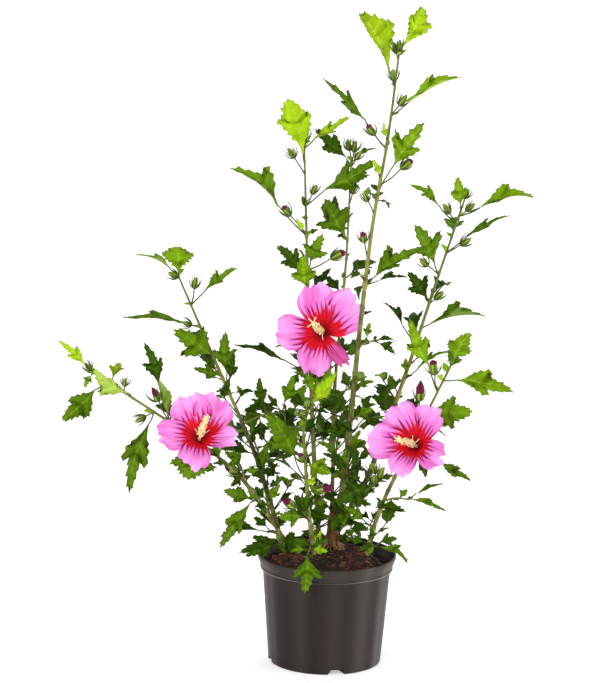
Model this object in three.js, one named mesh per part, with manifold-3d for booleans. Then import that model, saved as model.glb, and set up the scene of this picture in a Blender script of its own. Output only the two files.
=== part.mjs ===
// A rose of sharon in its nursery pot: a short stump, eight canes, leafy shoots and three open blooms.
// Millimetres, +Z up, the origin on the ground under the middle of the pot; the front of the plant faces -Y.
import * as THREE from "three";
import { mergeVertices } from "three/addons/utils/BufferGeometryUtils.js";
import Module from "manifold-3d";

const wasm = await Module();
wasm.setup();

const plant = new THREE.Group();
const clearance = 0.35; // kept between neighbours that meet

// ---------------------------------------------------------------- sizes

const pot = {
  height: 153,
  rimRadius: 96.5,
  bandHeight: 20, // the stiff band under the rim
  bandFootRadius: 91,
  wallTopRadius: 88.5,
  footRadius: 78,
  wall: 2,
  floor: 2.5,
  lip: 1, // how far the band's lower edge stands out
  notches: { count: 4, width: 24, height: 7, depth: 8, first: 282.6 },
  drains: { count: 4, radius: 4.5, ring: 50 },
  facets: 40,
};
// The soil is crowned: level round the stems and lower at the wall.
const soil = { top: 154, edge: 144, crownRadius: 66 };

// Each cane runs through a few places, [right, back, up]. It is bare up to leafyFrom and leafy from there on.
const stump = {
  path: [[4, 30, 120], [7, 28, 165], [11, 24, 216]], foot: 13, waist: 8.5, top: 7.5,
};
const canes = {
  tall: {
    path: [
      [11, 24, 200], [18, 21, 229], [28, 8, 340], [39, 0, 486], [52, 0, 620], [69, 0, 736], [81, 0, 852],
    ],
    foot: 4.6, tip: 1.3, leafyFrom: 522,
  },
  back: {
    path: [[7, 27, 186], [6, 42, 216], [6, 58, 271], [6, 80, 363], [18, 115, 545], [22, 135, 684]],
    foot: 3, tip: 1.2, leafyFrom: 485,
  },
  right: {
    path: [[8, 28, 163], [28, 39, 200], [48, 48, 234], [103, 82, 386], [140, 102, 505], [182, 125, 636]],
    foot: 4.2, tip: 1.2, leafyFrom: 352,
  },
  back_left: {
    path: [[-9, 44, 120], [-12, 46, 169], [-21, 56, 281], [-35, 85, 524], [-44, 100, 708]],
    foot: 3.9, tip: 1.2, leafyFrom: 462,
  },
  left: {
    path: [[-56, 14, 120], [-66, 16, 170], [-103, 30, 285], [-151, 50, 389], [-216, 80, 527]],
    foot: 4, tip: 1.2, leafyFrom: 345,
  },
  far_left: {
    path: [
      [-32, 9, 120], [-58, 3, 167], [-80, -8, 205], [-118, -26, 261], [-165, -52, 309], [-238, -85, 367],
      [-325, -105, 427],
    ],
    foot: 3.6, tip: 1.2, leafyFrom: 318,
  },
  front: {
    path: [
      [-12, -6, 120], [-21, -22, 178], [-27, -34, 224], [-33, -56, 300], [-36, -74, 345], [-31, -80, 374],
    ],
    foot: 3.4, tip: 1.6, leafyFrom: 205,
  },
  low_right: {
    path: [[50, -6, 120], [60, -14, 180], [76, -34, 238], [97, -50, 292], [170, -90, 464]],
    foot: 3.5, tip: 1.2, leafyFrom: 338,
  },
};

// A leaf's outline on one side of its midrib: [share of its length, share of its width].
const leafShapes = {
  lobed: { rib: 0.45, edge: [[0.22, 0.3], [0.46, 0.5], [0.55, 0.3], [0.78, 0.22]] },
  fan: { rib: 0.55, edge: [[0.35, 0.26], [0.68, 0.5], [0.77, 0.34], [0.9, 0.18]] },
  petal: { rib: 0.5, edge: [[0.12, 0.2], [0.45, 0.4], [0.78, 0.5], [0.95, 0.34]] },
};
const leafWidth = 0.6; // of its length
const leafThickness = 1 / 45; // of its length, at the midrib
const leafFold = 0.28; // how far a blade's edges rise for each millimetre from the midrib
const leafArch = 0.3; // how far its middle rises, four times the share of its length
const petioleShare = 0.22; // of the way from the joint to the tip
const petioleRadius = 1;
const stalkSection = [[1, 0.5], [-1, 0.5], [0, -1]]; // three-sided, in radii

// ---------------------------------------------------------------- foliage
// leaves: [joint, right, back, up, facing, width, petiole, shape]. The joint is a height on a cane's own
// shoot and a share of the twig on a side shoot; right, back and up lead from it to the leaf's tip; facing
// turns the upper side from the sky (0) to the front (90).
// buds: [joint, right, back, up, length], up to the bud's tip.

const shoots = {
  shoot_tall: {
    cane: "tall",
    leaves: [
      [847, 30, 5, 68, 85, 0.62, 0.14, "fan"],
      [805, -52, -10, 101, 80, 0.55, 0.18, "fan"],
      [766, 90, -15, 60, 15, 0.35, 0.24],
      [729, -6, -12, 30, 70, 0.45],
      [721, -87, -10, 98, 40, 0.42, 0.34],
      [678, -12, -15, 30, 70, 0.5],
      [662, 60, -20, 100, 75, 0.62, 0.33],
      [655, -12, 48, 2, 120, 0.7],
      [650, 20, 42, -16, 30, 0.35],
      [545, -24, 25, -4, 30],
      [531, 74, -10, 55, 40, 0.4, 0.15],
      [538, -8, 24, -32, 40, 0.5],
      [533, 58, 20, 7, 25, 0.4, 0.3],
    ],
    buds: [
      [850, 1, -2, 20, 13], [842, -7, 0, 24, 13], [807, -4, -8, 24, 15], [766, 21, 0, 29, 15],
      [721, -27, -6, 33, 15], [671, 44, 4, 35, 17], [629, -15, -8, 34, 13], [568, -9, -6, 40, 14],
    ],
  },
  shoot_back_left: {
    cane: "back_left",
    leaves: [
      [704, 64, 0, 44, 35, 0.35, 0.2],
      [683, -26, -10, 92, 80, 0.6, 0.1, "fan"],
      [624, 95, -15, 70, 60, 0.75, 0.28],
      [583, -106, -10, 95, 30, 0.32, 0.37],
      [583, -15, -10, 27, 60, 0.35],
      [583, 16, -6, 10, 60],
      [535, 20, -15, 54, 80, 0.8, 0.22],
      [517, -45, 20, 49, 60, 0.6],
      [485, -10, -30, 78, 75, 0.75, 0.36],
      [500, 30, 45, 30, 30],
    ],
    buds: [
      [706, 3, 0, 24, 14], [668, -24, -6, 37, 14], [624, 15, -4, 31, 13], [583, -34, -6, 42, 15],
      [535, 52, 4, 27, 19],
    ],
    bloom: "bloom_centre",
    bloomAt: 472,
  },
  shoot_back: {
    cane: "back",
    leaves: [
      [680, 35, 0, 22, 40, 0.4],
      [676, -51, 10, 50, 55, 0.5, 0.15],
      [640, 24, 52, 20, 30],
      [600, -40, 50, 10, 30],
      [575, -15, 18, 0, 40],
      [571, -33, 10, 58, 80, 0.95, 0.12],
      [520, 45, 50, 15, 20],
      [495, -24, 20, 25, 50, 0.8],
    ],
    buds: [[683, -6, 0, 30, 14], [680, 6, 2, 31, 14], [674, 14, -6, 24, 13], [623, 8, 0, 28, 12]],
  },
  shoot_left: {
    cane: "left",
    leaves: [
      [525, -58, -10, 31, 20, 0.3, 0.15],
      [523, -4, 25, 38, 80, 1.2, 0.1, "fan"],
      [485, 62, -10, 58, 30, 0.38, 0.33],
      [455, -107, -10, 15, 25, 0.3, 0.22],
      [440, -26, 55, -7, 30],
      [413, -57, -20, 45, 75, 0.78, 0.08],
      [400, -30, 55, 10, 20],
      [388, -41, -12, 15, 60, 0.6, 0.1],
      [388, -33, 8, 28, 60, 0.5],
      [372, -4, 14, 79, 75, 0.6, 0.25],
      [370, 8, 0, 53, 60, 0.45, 0.25],
      [368, -18, -12, 3, 10],
      [366, 26, -14, 5, 10, 0.4],
    ],
    buds: [[520, -16, -4, 10, 13], [485, 7, 0, 40, 14], [455, -26, -6, 8, 12]],
  },
  shoot_far_left: {
    cane: "far_left",
    leaves: [
      [427, -42, -10, 44, 60, 0.45, 0.12],
      [424, -10, -22, -16, 60, 0.6],
      [411, -61, -10, -52, 65, 0.66, 0.27],
      [408, 10, 45, 20, 30],
      [388, -50, -25, 46, 70, 0.62, 0.1],
      [352, -37, 12, 108, 70, 0.48, 0.42],
      [368, -31, -18, -111, 80, 0.46, 0.18],
      [350, -10, 60, 15, 20],
      [352, -16, -8, 61, 60, 0.4, 0.1],
      [324, -9, -20, -51, 80, 1.1, 0.3],
    ],
    buds: [[425, -10, 4, 12, 12], [396, 2, -8, 22, 11], [352, -24, -12, 51, 22], [368, -25, -8, -13, 14]],
    bloom: "bloom_left",
    bloomAt: 328,
  },
  shoot_front: {
    cane: "front",
    leaves: [
      [373, 38, -10, 57, 60, 0.42, 0.12],
      [370, 30, 18, 60, 50, 0.4],
      [370, -10, -26, -14, 60],
      [290, 33, -20, -6, 75, 1, 0.12],
      [268, -56, -30, 100, 80, 0.65, 0.3],
      [268, -52, 0, 31, 10, 0.3, 0.3],
      [252, 10, -16, 31, 70, 0.5],
      [211, -42, -12, 2, 80, 1, 0.25],
      [330, 14, 40, 20, 40],
    ],
    buds: [
      [374, -3, -12, 16, 12], [366, -17, -14, 6, 11], [371, -10, -18, 2, 11], [297, -6, -6, 37, 15],
      [290, -9, -6, 19, 13], [250, 35, -18, 12, 21], [213, -37, -18, 28, 19],
    ],
  },
  shoot_right: {
    cane: "right",
    leaves: [
      [618, -7, -10, 48, 80, 0.5, 0.12],
      [610, 105, -10, 31, 40, 0.38, 0.28],
      [600, -66, 0, 55, 35, 0.3, 0.38],
      [580, 10, 60, 20, 30],
      [559, 85, 0, 58, 30, 0.4, 0.33],
      [529, -36, -12, 72, 75, 0.75, 0.2],
      [500, 25, 60, 5, 20],
      [490, -31, 12, 42, 70, 0.8, 0.1],
      [455, 89, 0, 20, 15, 0.28, 0.15],
      [440, -5, 60, 25, 30],
      [432, -47, 12, 57, 30, 0.32, 0.4],
      [432, 0, -12, 20, 70],
      [389, 0, -12, 28, 75, 0.7],
      [383, 64, 0, 42, 25, 0.35, 0.3],
      [362, -14, -18, 33, 80, 1, 0.25],
      [356, -30, -6, 14, 40],
    ],
    buds: [
      [632, 5, 4, 16, 12], [610, 22, -4, 19, 14], [600, -19, -4, 28, 14], [559, 34, -6, 22, 15],
      [529, -28, -8, 24, 14], [488, 20, -6, 20, 15],
    ],
  },
  shoot_low_right: {
    cane: "low_right",
    leaves: [
      [444, 22, -15, 46, 80, 0.8, 0.1],
      [430, 15, 45, 15, 30],
      [419, 95, -10, -10, 50, 0.4, 0.2],
      [402, -40, -15, 103, 70, 0.42, 0.33],
      [374, 61, -4, 2, 75, 0.85, 0.1],
      [360, 10, 50, 0, 30],
      [348, 38, 0, -8, 20],
    ],
    buds: [[402, -8, -8, 46, 18], [348, 0, -8, 69, 28]],
    bloom: "bloom_right",
    bloomAt: 352,
  },
  // side shoots: a twig leaves the cane at a height and runs by the given way
  side_tall_mid: {
    cane: "tall", at: 446, twig: [22, 12, 6],
    leaves: [
      [0.5, 5, -6, 30, 50], [1, 24, 0, 4, 30], [1, 32, 10, -2, 20], [1, 30, -10, -16, 30],
      [0.4, -30, -14, -4, 70, 0.8], [0.3, -24, 14, -22, 70, 0.8],
    ],
  },
  side_tall_low: {
    cane: "tall", at: 386, twig: [-12, 12, -6],
    leaves: [
      [0.5, -8, -6, 26, 75, 0.9], [0.5, 34, -10, 12, 30], [1, -30, 5, -12, 20, 0.4],
      [1, -12, -14, -24, 70, 0.8],
      [1, 10, 40, 5, 20],
    ],
  },
  side_tall_foot: {
    cane: "tall", at: 338, twig: [14, -8, 12],
    leaves: [
      [0.5, 24, -8, 16, 60, 0.8], [1, 14, 6, 28, 60, 0.7], [0.4, -20, -18, -20, 70, 0.9],
      [1, 24, -14, -16, 50, 0.7],
    ],
  },
  side_tall_base: {
    cane: "tall", at: 266, twig: [2, -14, 8],
    leaves: [
      [1, -2, -8, 30, 85, 0.6], [1, -34, -6, 22, 60, 0.55], [0.6, -18, -6, -12, 75, 0.9],
      [1, 24, 0, 16, 60, 0.6],
      [1, 16, -8, -14, 65, 0.9],
    ],
  },
  side_back_left: {
    cane: "back_left", at: 393, twig: [-14, 4, 4],
    leaves: [
      [1, -93, 5, 33, 25, 0.34, 0.25], [0.6, 14, -14, -28, 75, 0.8], [1, -12, -8, -26, 60],
      [1, -6, 40, 16, 20],
    ],
  },
  side_back: {
    cane: "back", at: 335, twig: [4, -14, -4],
    leaves: [
      [1, -10, -8, -34, 75, 0.7], [0.7, 8, -6, 34, 60, 0.6], [1, 16, -6, -40, 70, 0.5],
      [0.6, -34, -4, 10, 20, 0.4],
    ],
  },
  side_left_inner: {
    cane: "left", at: 325, twig: [53, 16, 14],
    leaves: [
      [1, -20, 0, 26, 60], [1, 16, 0, 54, 65, 0.6], [0.7, -28, -5, 22, 50, 0.5], [0.6, -10, 4, 52, 90, 0.5],
      [0.45, 4, -16, -32, 75, 0.85], [1, 22, 12, 2, 30],
    ],
  },
  side_left_low: {
    cane: "left", at: 262, twig: [3, -14, -2],
    leaves: [[1, -9, -4, 28, 80, 0.5], [0.7, -28, -8, 4, 60, 0.45], [1, 26, -6, 4, 40, 0.45]],
  },
  side_far_left: {
    cane: "far_left", at: 258, twig: [-4, -10, 20],
    leaves: [
      [1, -24, -4, 26, 70, 0.8, 0.1], [0.6, 22, 6, 6, 60, 0.7], [1, -12, -6, 32, 100, 0.5],
      [0.5, -22, -12, -12, 80, 0.8],
    ],
    buds: [[0.4, -26, -8, 14, 20]],
  },
  side_far_left_out: {
    cane: "far_left", at: 229, twig: [-8, -8, 2],
    leaves: [
      [1, -42, -6, 16, 70, 0.65, 0.1], [1, -45, -20, -64, 60, 0.55, 0.1], [0.6, 14, -26, -14, 70, 0.7],
    ],
  },
  side_far_left_low: {
    cane: "far_left", at: 205, twig: [-12, 10, 50],
    leaves: [
      [1, 9, 4, 56, 30, 0.35], [0.9, -18, 6, 22, 50, 0.7], [0.3, 16, -8, 34, 80, 0.7],
      [0.4, -18, 8, 20, 75, 0.8],
      [0.7, 22, 18, 12, 50],
    ],
  },
  side_low_right: {
    cane: "low_right", at: 318, twig: [10, -12, -4],
    leaves: [
      [1, 76, -12, -34, 50, 0.38, 0.4], [0.6, 12, 34, -4, 30], [1, 14, -6, -32, 60],
      [0.5, -38, -6, 12, 65, 0.5],
    ],
  },
  side_low_right_mid: {
    cane: "low_right", at: 238, twig: [32, -12, 6],
    leaves: [
      [1, 53, 0, -16, 30, 0.3, 0.1], [1, 47, -4, 26, 30, 0.3, 0.25], [0.35, 18, 6, 38, 90, 1.15, 0.1],
      [0.35, -6, -18, -30, 70, 1.3, 0.1], [0.7, 6, 26, 4, 30],
    ],
  },
  side_low_right_foot: {
    cane: "low_right", at: 196, twig: [-8, 8, 2],
    leaves: [[1, -34, -4, 26, 60, 0.65, 0.15], [1, -42, 6, -4, 20, 0.35, 0.15], [0.6, 10, 30, 12, 40]],
  },
  side_centre: {
    cane: "stump", at: 178, twig: [60, -58, 86],
    leaves: [
      [1, -56, -16, -26, 85, 1, 0.28], [0.7, 28, 12, 22, 60, 0.7], [0.4, -14, -22, -10, 80, 0.8],
      [0.5, 26, 10, -6, 60, 0.6], [1, 22, 8, 8, 50, 0.6], [0.25, 20, -6, -12, 60, 0.6],
    ],
    buds: [[1, -10, -6, 28, 14], [1, 6, -8, 23, 15], [0.94, -2, -14, 16, 14]],
  },
  side_centre_low: {
    cane: "stump", at: 168, twig: [16, -12, 6],
    leaves: [
      [1, 34, -8, -4, 20, 0.35], [0.8, 4, -26, -6, 70], [1, 14, -18, 14, 80, 0.8], [0.7, -6, -14, 20, 80],
    ],
  },
  side_front_low: {
    cane: "front", at: 190, twig: [2, 14, 3],
    leaves: [
      [1, 16, 2, 38, 85, 1.1, 0.1], [1, -26, -2, 46, 80, 0.75, 0.12], [0.8, 16, -2, -22, 80, 0.7, 0.15],
      [1, -16, 4, -16, 70, 0.7],
    ],
  },
  foot_left: {
    cane: "far_left", at: 172, twig: [-8, -26, -3],
    leaves: [
      [0.3, -57, -30, -12, 70, 0.55, 0.1], [1, -44, -26, -10, 75, 0.5, 0.1],
      [0.5, 36, -18, -4, 75, 0.8, 0.05],
      [0.8, 10, -22, -6, 75, 0.8],
    ],
  },
  foot_left_back: {
    cane: "left", at: 172, twig: [-12, 4, 4],
    leaves: [[1, -70, -12, -2, 15, 0.3, 0.2], [1, -24, 26, 14, 40], [0.6, 22, 20, 22, 40]],
  },
  foot_front: {
    cane: "front", at: 164, twig: [-8, -68, 10],
    leaves: [
      [1, -3, -26, -48, 80, 0.95, 0.1], [0.4, 24, -10, 14, 60, 0.7, 0.1], [0.4, -24, -8, 12, 60, 0.7, 0.1],
      [0.75, 26, -6, 0, 60, 0.7], [0.75, -26, -4, -2, 60, 0.7], [0.15, 12, 8, 24, 80, 0.45, 0.1],
    ],
  },
  foot_right: {
    cane: "low_right", at: 170, twig: [6, -10, 0],
    leaves: [
      [1, 48, -28, -14, 35, 0.42, 0.15], [0.7, -4, -6, 30, 90, 0.5, 0.1], [0.6, -34, 4, 8, 75, 0.55, 0.3],
      [0.6, -18, -8, -6, 70, 0.7], [1, 34, 20, 6, 30],
    ],
  },
};

// Shoots on the far side: twigs that fork and carry their leaves by rule.
const farShoots = {
  rear_left: { cane: "left", at: 236, twig: [-24, 84, 60], seed: 11 },
  rear_back_left: { cane: "back_left", at: 246, twig: [-46, 74, 84], seed: 23 },
  rear_back: { cane: "back", at: 250, twig: [14, 92, 70], seed: 37 },
  rear_right: { cane: "right", at: 272, twig: [52, 64, 46], seed: 41 },
  rear_high: { cane: "back_left", at: 352, twig: [16, 84, 50], seed: 59 },
};
const farRule = {
  leaves: 6, // on the main twig
  forks: [[0.35, -0.9], [0.55, 0.9]], // [share of the twig, turn in radians]
  forkLength: 0.6,
  forkLeaves: 3,
  leafLength: [52, 70],
  spacing: 26, // between the middles of two leaves
  turn: 2.4, // the angle between one leaf and the next round the twig
  lift: [0.05, 0.75], // how steeply a leaf rises
};

// Open flowers: the throat, where the flower faces, where its column leans, and its petals as [bearing in
// degrees from the right, reach from the throat, width as a share of the length].
const blooms = {
  bloom_left: {
    throat: [-174, -118, 354], faces: [0.08, -0.82, 0.56], leans: [0.2, 0, 0.35],
    petals: [[114, 52, 0.8], [58, 53, 0.8], [343, 49, 0.6], [255, 58, 0.72], [188, 59, 0.66]],
  },
  bloom_centre: {
    throat: [-17, 38, 463], faces: [-0.14, -0.95, 0.22], leans: [-0.35, 0, 0.3],
    petals: [[102, 62, 0.68], [39, 66, 0.82], [189, 62, 0.7], [261, 64, 0.72], [308, 62, 0.36]],
  },
  bloom_right: {
    throat: [106, -103, 346], faces: [-0.34, -0.83, 0.44], leans: [-0.4, 0, 0],
    petals: [[130, 50, 0.78], [56, 53, 0.7], [333, 60, 0.66], [261, 55, 0.62], [191, 60, 0.68]],
  },
};
const bloomForm = { depth: 20, column: 38, columnRadius: 2.2, anthers: 3.8, calyx: 13 };

const colours = {
  pot: 0x3a3734, soil: 0x2c1a12, wood: 0x6e5a3c, cane: 0x84844f, leaf: 0x5f9415, petal: 0xf58be0,
};

// ---------------------------------------------------------------- solids

const vector = (place) => new THREE.Vector3(...place);

function solidOf(geometry) {
  geometry.deleteAttribute("normal");
  geometry.deleteAttribute("uv");
  const merged = mergeVertices(geometry, 1e-4);
  const vertProperties = merged.attributes.position.array;
  const triVerts = new Uint32Array(merged.index.array);
  return new wasm.Manifold(new wasm.Mesh({ numProp: 3, vertProperties, triVerts }));
}

function addPiece(name, solid, colour, roughness = 0.7) {
  const mesh = solid.getMesh();
  const geometry = new THREE.BufferGeometry();
  geometry.setAttribute("position", new THREE.BufferAttribute(mesh.vertProperties, mesh.numProp));
  geometry.setIndex(new THREE.BufferAttribute(mesh.triVerts, 1));
  geometry.computeVertexNormals();
  const material = new THREE.MeshStandardMaterial({ color: colour, roughness, metalness: 0 });
  const piece = new THREE.Mesh(geometry, material);
  piece.name = name;
  plant.add(piece);
}

function facesToSolid(points, faces) {
  const geometry = new THREE.BufferGeometry();
  geometry.setAttribute("position", new THREE.Float32BufferAttribute(points.flatMap((p) => p.toArray()), 3));
  geometry.setIndex(faces.flat());
  return solidOf(geometry);
}

// A closed tapering tube round a chain of points; its ends are flat.
function tube(points, radii, sides) {
  const ring = [];
  const faces = [];
  let side = new THREE.Vector3();
  points.forEach((point, i) => {
    const next = points[Math.min(i + 1, points.length - 1)];
    const ahead = next.clone().sub(points[Math.max(i - 1, 0)]).normalize();
    const start = Math.abs(ahead.y) < 0.9 ? vector([0, 1, 0]) : vector([1, 0, 0]);
    if (i === 0) side.crossVectors(ahead, start);
    side = side.clone().addScaledVector(ahead, -side.dot(ahead)).normalize();
    const up = new THREE.Vector3().crossVectors(ahead, side);
    for (let k = 0; k < sides; k++) {
      const angle = (2 * Math.PI * k) / sides;
      const out = side.clone().multiplyScalar(Math.cos(angle)).addScaledVector(up, Math.sin(angle));
      ring.push(point.clone().addScaledVector(out, radii[i]));
    }
  });
  const last = (points.length - 1) * sides;
  for (let k = 0; k < sides; k++) {
    const next = (k + 1) % sides;
    for (let i = 0; i < last; i += sides) {
      faces.push([i + k, i + next, i + sides + next], [i + k, i + sides + next, i + sides + k]);
    }
    if (k > 0 && k < sides - 1) faces.push([0, k + 1, k], [last, last + k, last + k + 1]);
  }
  return facesToSolid(ring, faces);
}

function curveOf(path) {
  return new THREE.CatmullRomCurve3(path.map(vector), false, "centripetal");
}

// The share of a rising curve at which it reaches a height.
function shareAt(curve, height) {
  let low = 0;
  let high = 1;
  for (let i = 0; i < 24; i++) {
    const middle = (low + high) / 2;
    if (curve.getPointAt(middle).z < height) low = middle;
    else high = middle;
  }
  return (low + high) / 2;
}

function limb(curve, radiusAt, from, to, grow = 0, sides = 6) {
  const steps = Math.max(2, Math.ceil(((to - from) * curve.getLength()) / 55));
  const points = [];
  const radii = [];
  for (let i = 0; i <= steps; i++) {
    const share = from + ((to - from) * i) / steps;
    points.push(curve.getPointAt(share));
    radii.push(radiusAt(share) + grow);
  }
  if (grow) {
    points[0].addScaledVector(curve.getTangentAt(from), -grow);
    points[steps].addScaledVector(curve.getTangentAt(to), grow);
  }
  return tube(points, radii, sides);
}

// A stalk from the joint to the base, and a blade from there to the tip: one closed piece with a three-sided
// stalk and a lobed outline, folded up along the midrib and arched over.
function blade(joint, base, tip, facing, width, shape, stalk) {
  const along = tip.clone().sub(base);
  const length = along.length();
  along.normalize();
  const upper = facing.clone().addScaledVector(along, -facing.dot(along)).normalize();
  const across = new THREE.Vector3().crossVectors(along, upper);
  const { rib, edge } = leafShapes[shape];
  const from = (start, x, y, lift) =>
    start.clone().addScaledVector(along, x).addScaledVector(across, y).addScaledVector(upper, lift);
  const rise = (x, y) => leafArch * x * (1 - x) + leafFold * Math.abs(y) * width;
  const at = (x, y) => from(base, x * length, y * width * length, rise(x, y) * length);
  const half = Math.max(leafThickness * length, 1) / 2;
  const middle = at(rib, 0);
  const points = [half, -half].map((lift) => middle.clone().addScaledVector(upper, lift));
  points.push(tip.clone());
  const [over, under, end] = [0, 1, 2];
  const ringAt = (centre) =>
    stalkSection.map(([y, lift]) => points.push(from(centre, 0, y * stalk, lift * stalk)) - 1);
  const root = ringAt(joint);
  const neck = ringAt(base);
  const faces = [
    [root[0], root[1], root[2]], [neck[0], over, neck[1]], [neck[0], neck[2], under],
    [neck[2], neck[1], under],
  ];
  for (const [i, j] of [[0, 1], [1, 2], [2, 0]]) {
    faces.push([root[i], neck[i], neck[j]], [root[i], neck[j], root[j]]);
  }
  for (const side of [1, -1]) {
    const chain = [neck[side > 0 ? 0 : 1], ...edge.map(([x, y]) => points.push(at(x, y * side)) - 1), end];
    for (let i = 0; i < chain.length - 1; i++) {
      const pair = side > 0 ? [chain[i], chain[i + 1]] : [chain[i + 1], chain[i]];
      faces.push([pair[0], pair[1], over], [pair[1], pair[0], under]);
    }
  }
  return facesToSolid(points, faces);
}

function facingOf(degrees) {
  const angle = THREE.MathUtils.degToRad(degrees);
  return new THREE.Vector3(0, -Math.sin(angle), Math.cos(angle));
}

// A leaf on its stalk, whose root is sunk in the stem.
function leaf(joint, reach, facing = 40, width = leafWidth, petiole = petioleShare, shape = "lobed") {
  const base = joint.clone().addScaledVector(reach, petiole);
  base.z += 0.04 * reach.length();
  return blade(joint, base, joint.clone().add(reach), facingOf(facing), width, shape, petioleRadius);
}

// A closed bud on its stalk.
function bud(joint, reach, length = 14) {
  const tip = joint.clone().add(reach);
  const way = reach.clone().normalize();
  const along = (share) => tip.clone().addScaledVector(way, -length * (1 - share));
  const radius = length * 0.3;
  return tube([joint, along(0), along(0.45), along(1)], [petioleRadius, 1.2, radius * 1.1, 0.5], 4);
}

// ---------------------------------------------------------------- what stands clear

const standing = new Map(); // the finished solids by name

function boxesMeet(a, b, gap) {
  return [0, 1, 2].every((k) => a.min[k] - gap < b.max[k] && b.min[k] - gap < a.max[k]);
}

function isClear(solid, ownName) {
  const box = solid.boundingBox();
  for (const [name, other] of standing) {
    if (name === ownName || !boxesMeet(box, other.boundingBox(), clearance)) continue;
    if (solid.minGap(other, 2 * clearance) < clearance) return false;
  }
  return true;
}

// A leaf that would touch a neighbour is turned a little about its joint, or left out if no turn clears it.
const turns = [0, 0.15, -0.15, 0.3, -0.3, 0.5, -0.5];

function clearGrowth(make, reach, ownName) {
  for (const turn of turns) {
    const growth = make(reach.clone().applyAxisAngle(vector([0, 0, 1]), turn));
    if (isClear(growth, ownName)) return [growth];
  }
  return [];
}

function join(name, parts, colour) {
  const whole = wasm.Manifold.union(parts);
  const bodies = whole.decompose().sort((a, b) => b.volume() - a.volume());
  standing.set(name, bodies[0]);
  addPiece(name, bodies[0], colour, 0.6);
}

// ---------------------------------------------------------------- pot and soil

function turned(profile, facets) {
  const geometry = new THREE.LatheGeometry(profile.map(([r, z]) => new THREE.Vector2(r, z)), facets);
  geometry.rotateX(Math.PI / 2);
  return solidOf(geometry);
}

function innerRadius(height) {
  const bandFoot = pot.height - pot.bandHeight;
  if (height > bandFoot) {
    const share = (height - bandFoot) / pot.bandHeight;
    return pot.bandFootRadius + share * (pot.rimRadius - pot.bandFootRadius) - pot.wall;
  }
  return pot.footRadius + (height / bandFoot) * (pot.wallTopRadius - pot.footRadius) - pot.wall;
}

function makePot() {
  const { height, bandHeight, wall, floor, lip } = pot;
  const bandFoot = height - bandHeight;
  const profile = [
    [0, 0], [pot.footRadius - 2, 0], [pot.footRadius, 2], [pot.wallTopRadius, bandFoot],
    [pot.bandFootRadius + lip, bandFoot], [pot.bandFootRadius + lip, bandFoot + 1.5],
    [pot.bandFootRadius, bandFoot + 3],
    [pot.rimRadius, height - 1.5], [pot.rimRadius - 0.5, height], [pot.rimRadius - wall, height],
    [innerRadius(bandFoot + 2), bandFoot + 2], [innerRadius(bandFoot - wall), bandFoot - wall],
    [innerRadius(floor), floor], [0, floor],
  ];
  let solid = turned(profile, pot.facets);
  const { notches, drains } = pot;
  const outline = new THREE.Shape([
    new THREE.Vector2(-notches.width / 2, -1),
    new THREE.Vector2(notches.width / 2, -1),
    new THREE.Vector2(notches.width / 4, notches.height),
    new THREE.Vector2(-notches.width / 4, notches.height),
  ]);
  for (let k = 0; k < notches.count; k++) {
    const cut = new THREE.ExtrudeGeometry(outline, { depth: 2 * notches.depth, bevelEnabled: false });
    cut.rotateX(Math.PI / 2).translate(0, pot.footRadius + notches.depth, 0);
    const bearing = THREE.MathUtils.degToRad(notches.first + (360 * k) / notches.count);
    solid = solid.subtract(solidOf(cut.rotateZ(bearing - Math.PI / 2)));
  }
  for (let k = 0; k < drains.count; k++) {
    const bearing = (2 * Math.PI * k) / drains.count;
    const hole = new THREE.CylinderGeometry(drains.radius, drains.radius, 4 * floor, 12).rotateX(Math.PI / 2);
    hole.translate(drains.ring * Math.cos(bearing), drains.ring * Math.sin(bearing), 0);
    solid = solid.subtract(solidOf(hole));
  }
  standing.set("pot", solid);
  addPiece("pot", solid, colours.pot, 0.5);
}

function makeSoil() {
  const bandFoot = pot.height - pot.bandHeight;
  const bottom = pot.floor + clearance;
  const profile = [
    [0, bottom], [innerRadius(bottom) - clearance, bottom],
    [innerRadius(bandFoot - pot.wall) - clearance, bandFoot - pot.wall],
    [innerRadius(bandFoot + 2) - clearance, bandFoot + 2 + clearance],
    [innerRadius(soil.edge) - clearance, soil.edge], [soil.crownRadius, soil.top], [0, soil.top],
  ];
  const solid = turned(profile, pot.facets);
  standing.set("soil", solid);
  addPiece("soil", solid, colours.soil, 0.95);
}

// ---------------------------------------------------------------- stump and canes

const limbs = {}; // each cane's curve, radius and the solid that cuts its neighbours

function aboveSoil(solid) {
  const depth = 100;
  const ground = new THREE.BoxGeometry(400, 400, depth).translate(0, 0, soil.top + clearance - depth / 2);
  return solid.subtract(solidOf(ground));
}

function makeStump() {
  const curve = curveOf(stump.path);
  const soilShare = shareAt(curve, soil.top);
  const radiusAt = (share) => {
    const up = (share - soilShare) / (1 - soilShare);
    if (up < 0.3) return THREE.MathUtils.lerp(stump.foot, stump.waist, Math.max(0, up) / 0.3);
    return THREE.MathUtils.lerp(stump.waist, stump.top, (up - 0.3) / 0.7);
  };
  limbs.stump = { curve, radiusAt, cutter: limb(curve, radiusAt, 0, 1, clearance, 8) };
  const solid = aboveSoil(limb(curve, radiusAt, 0, 1, 0, 8));
  standing.set("trunk", solid);
  addPiece("trunk", solid, colours.wood, 0.85);
}

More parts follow.
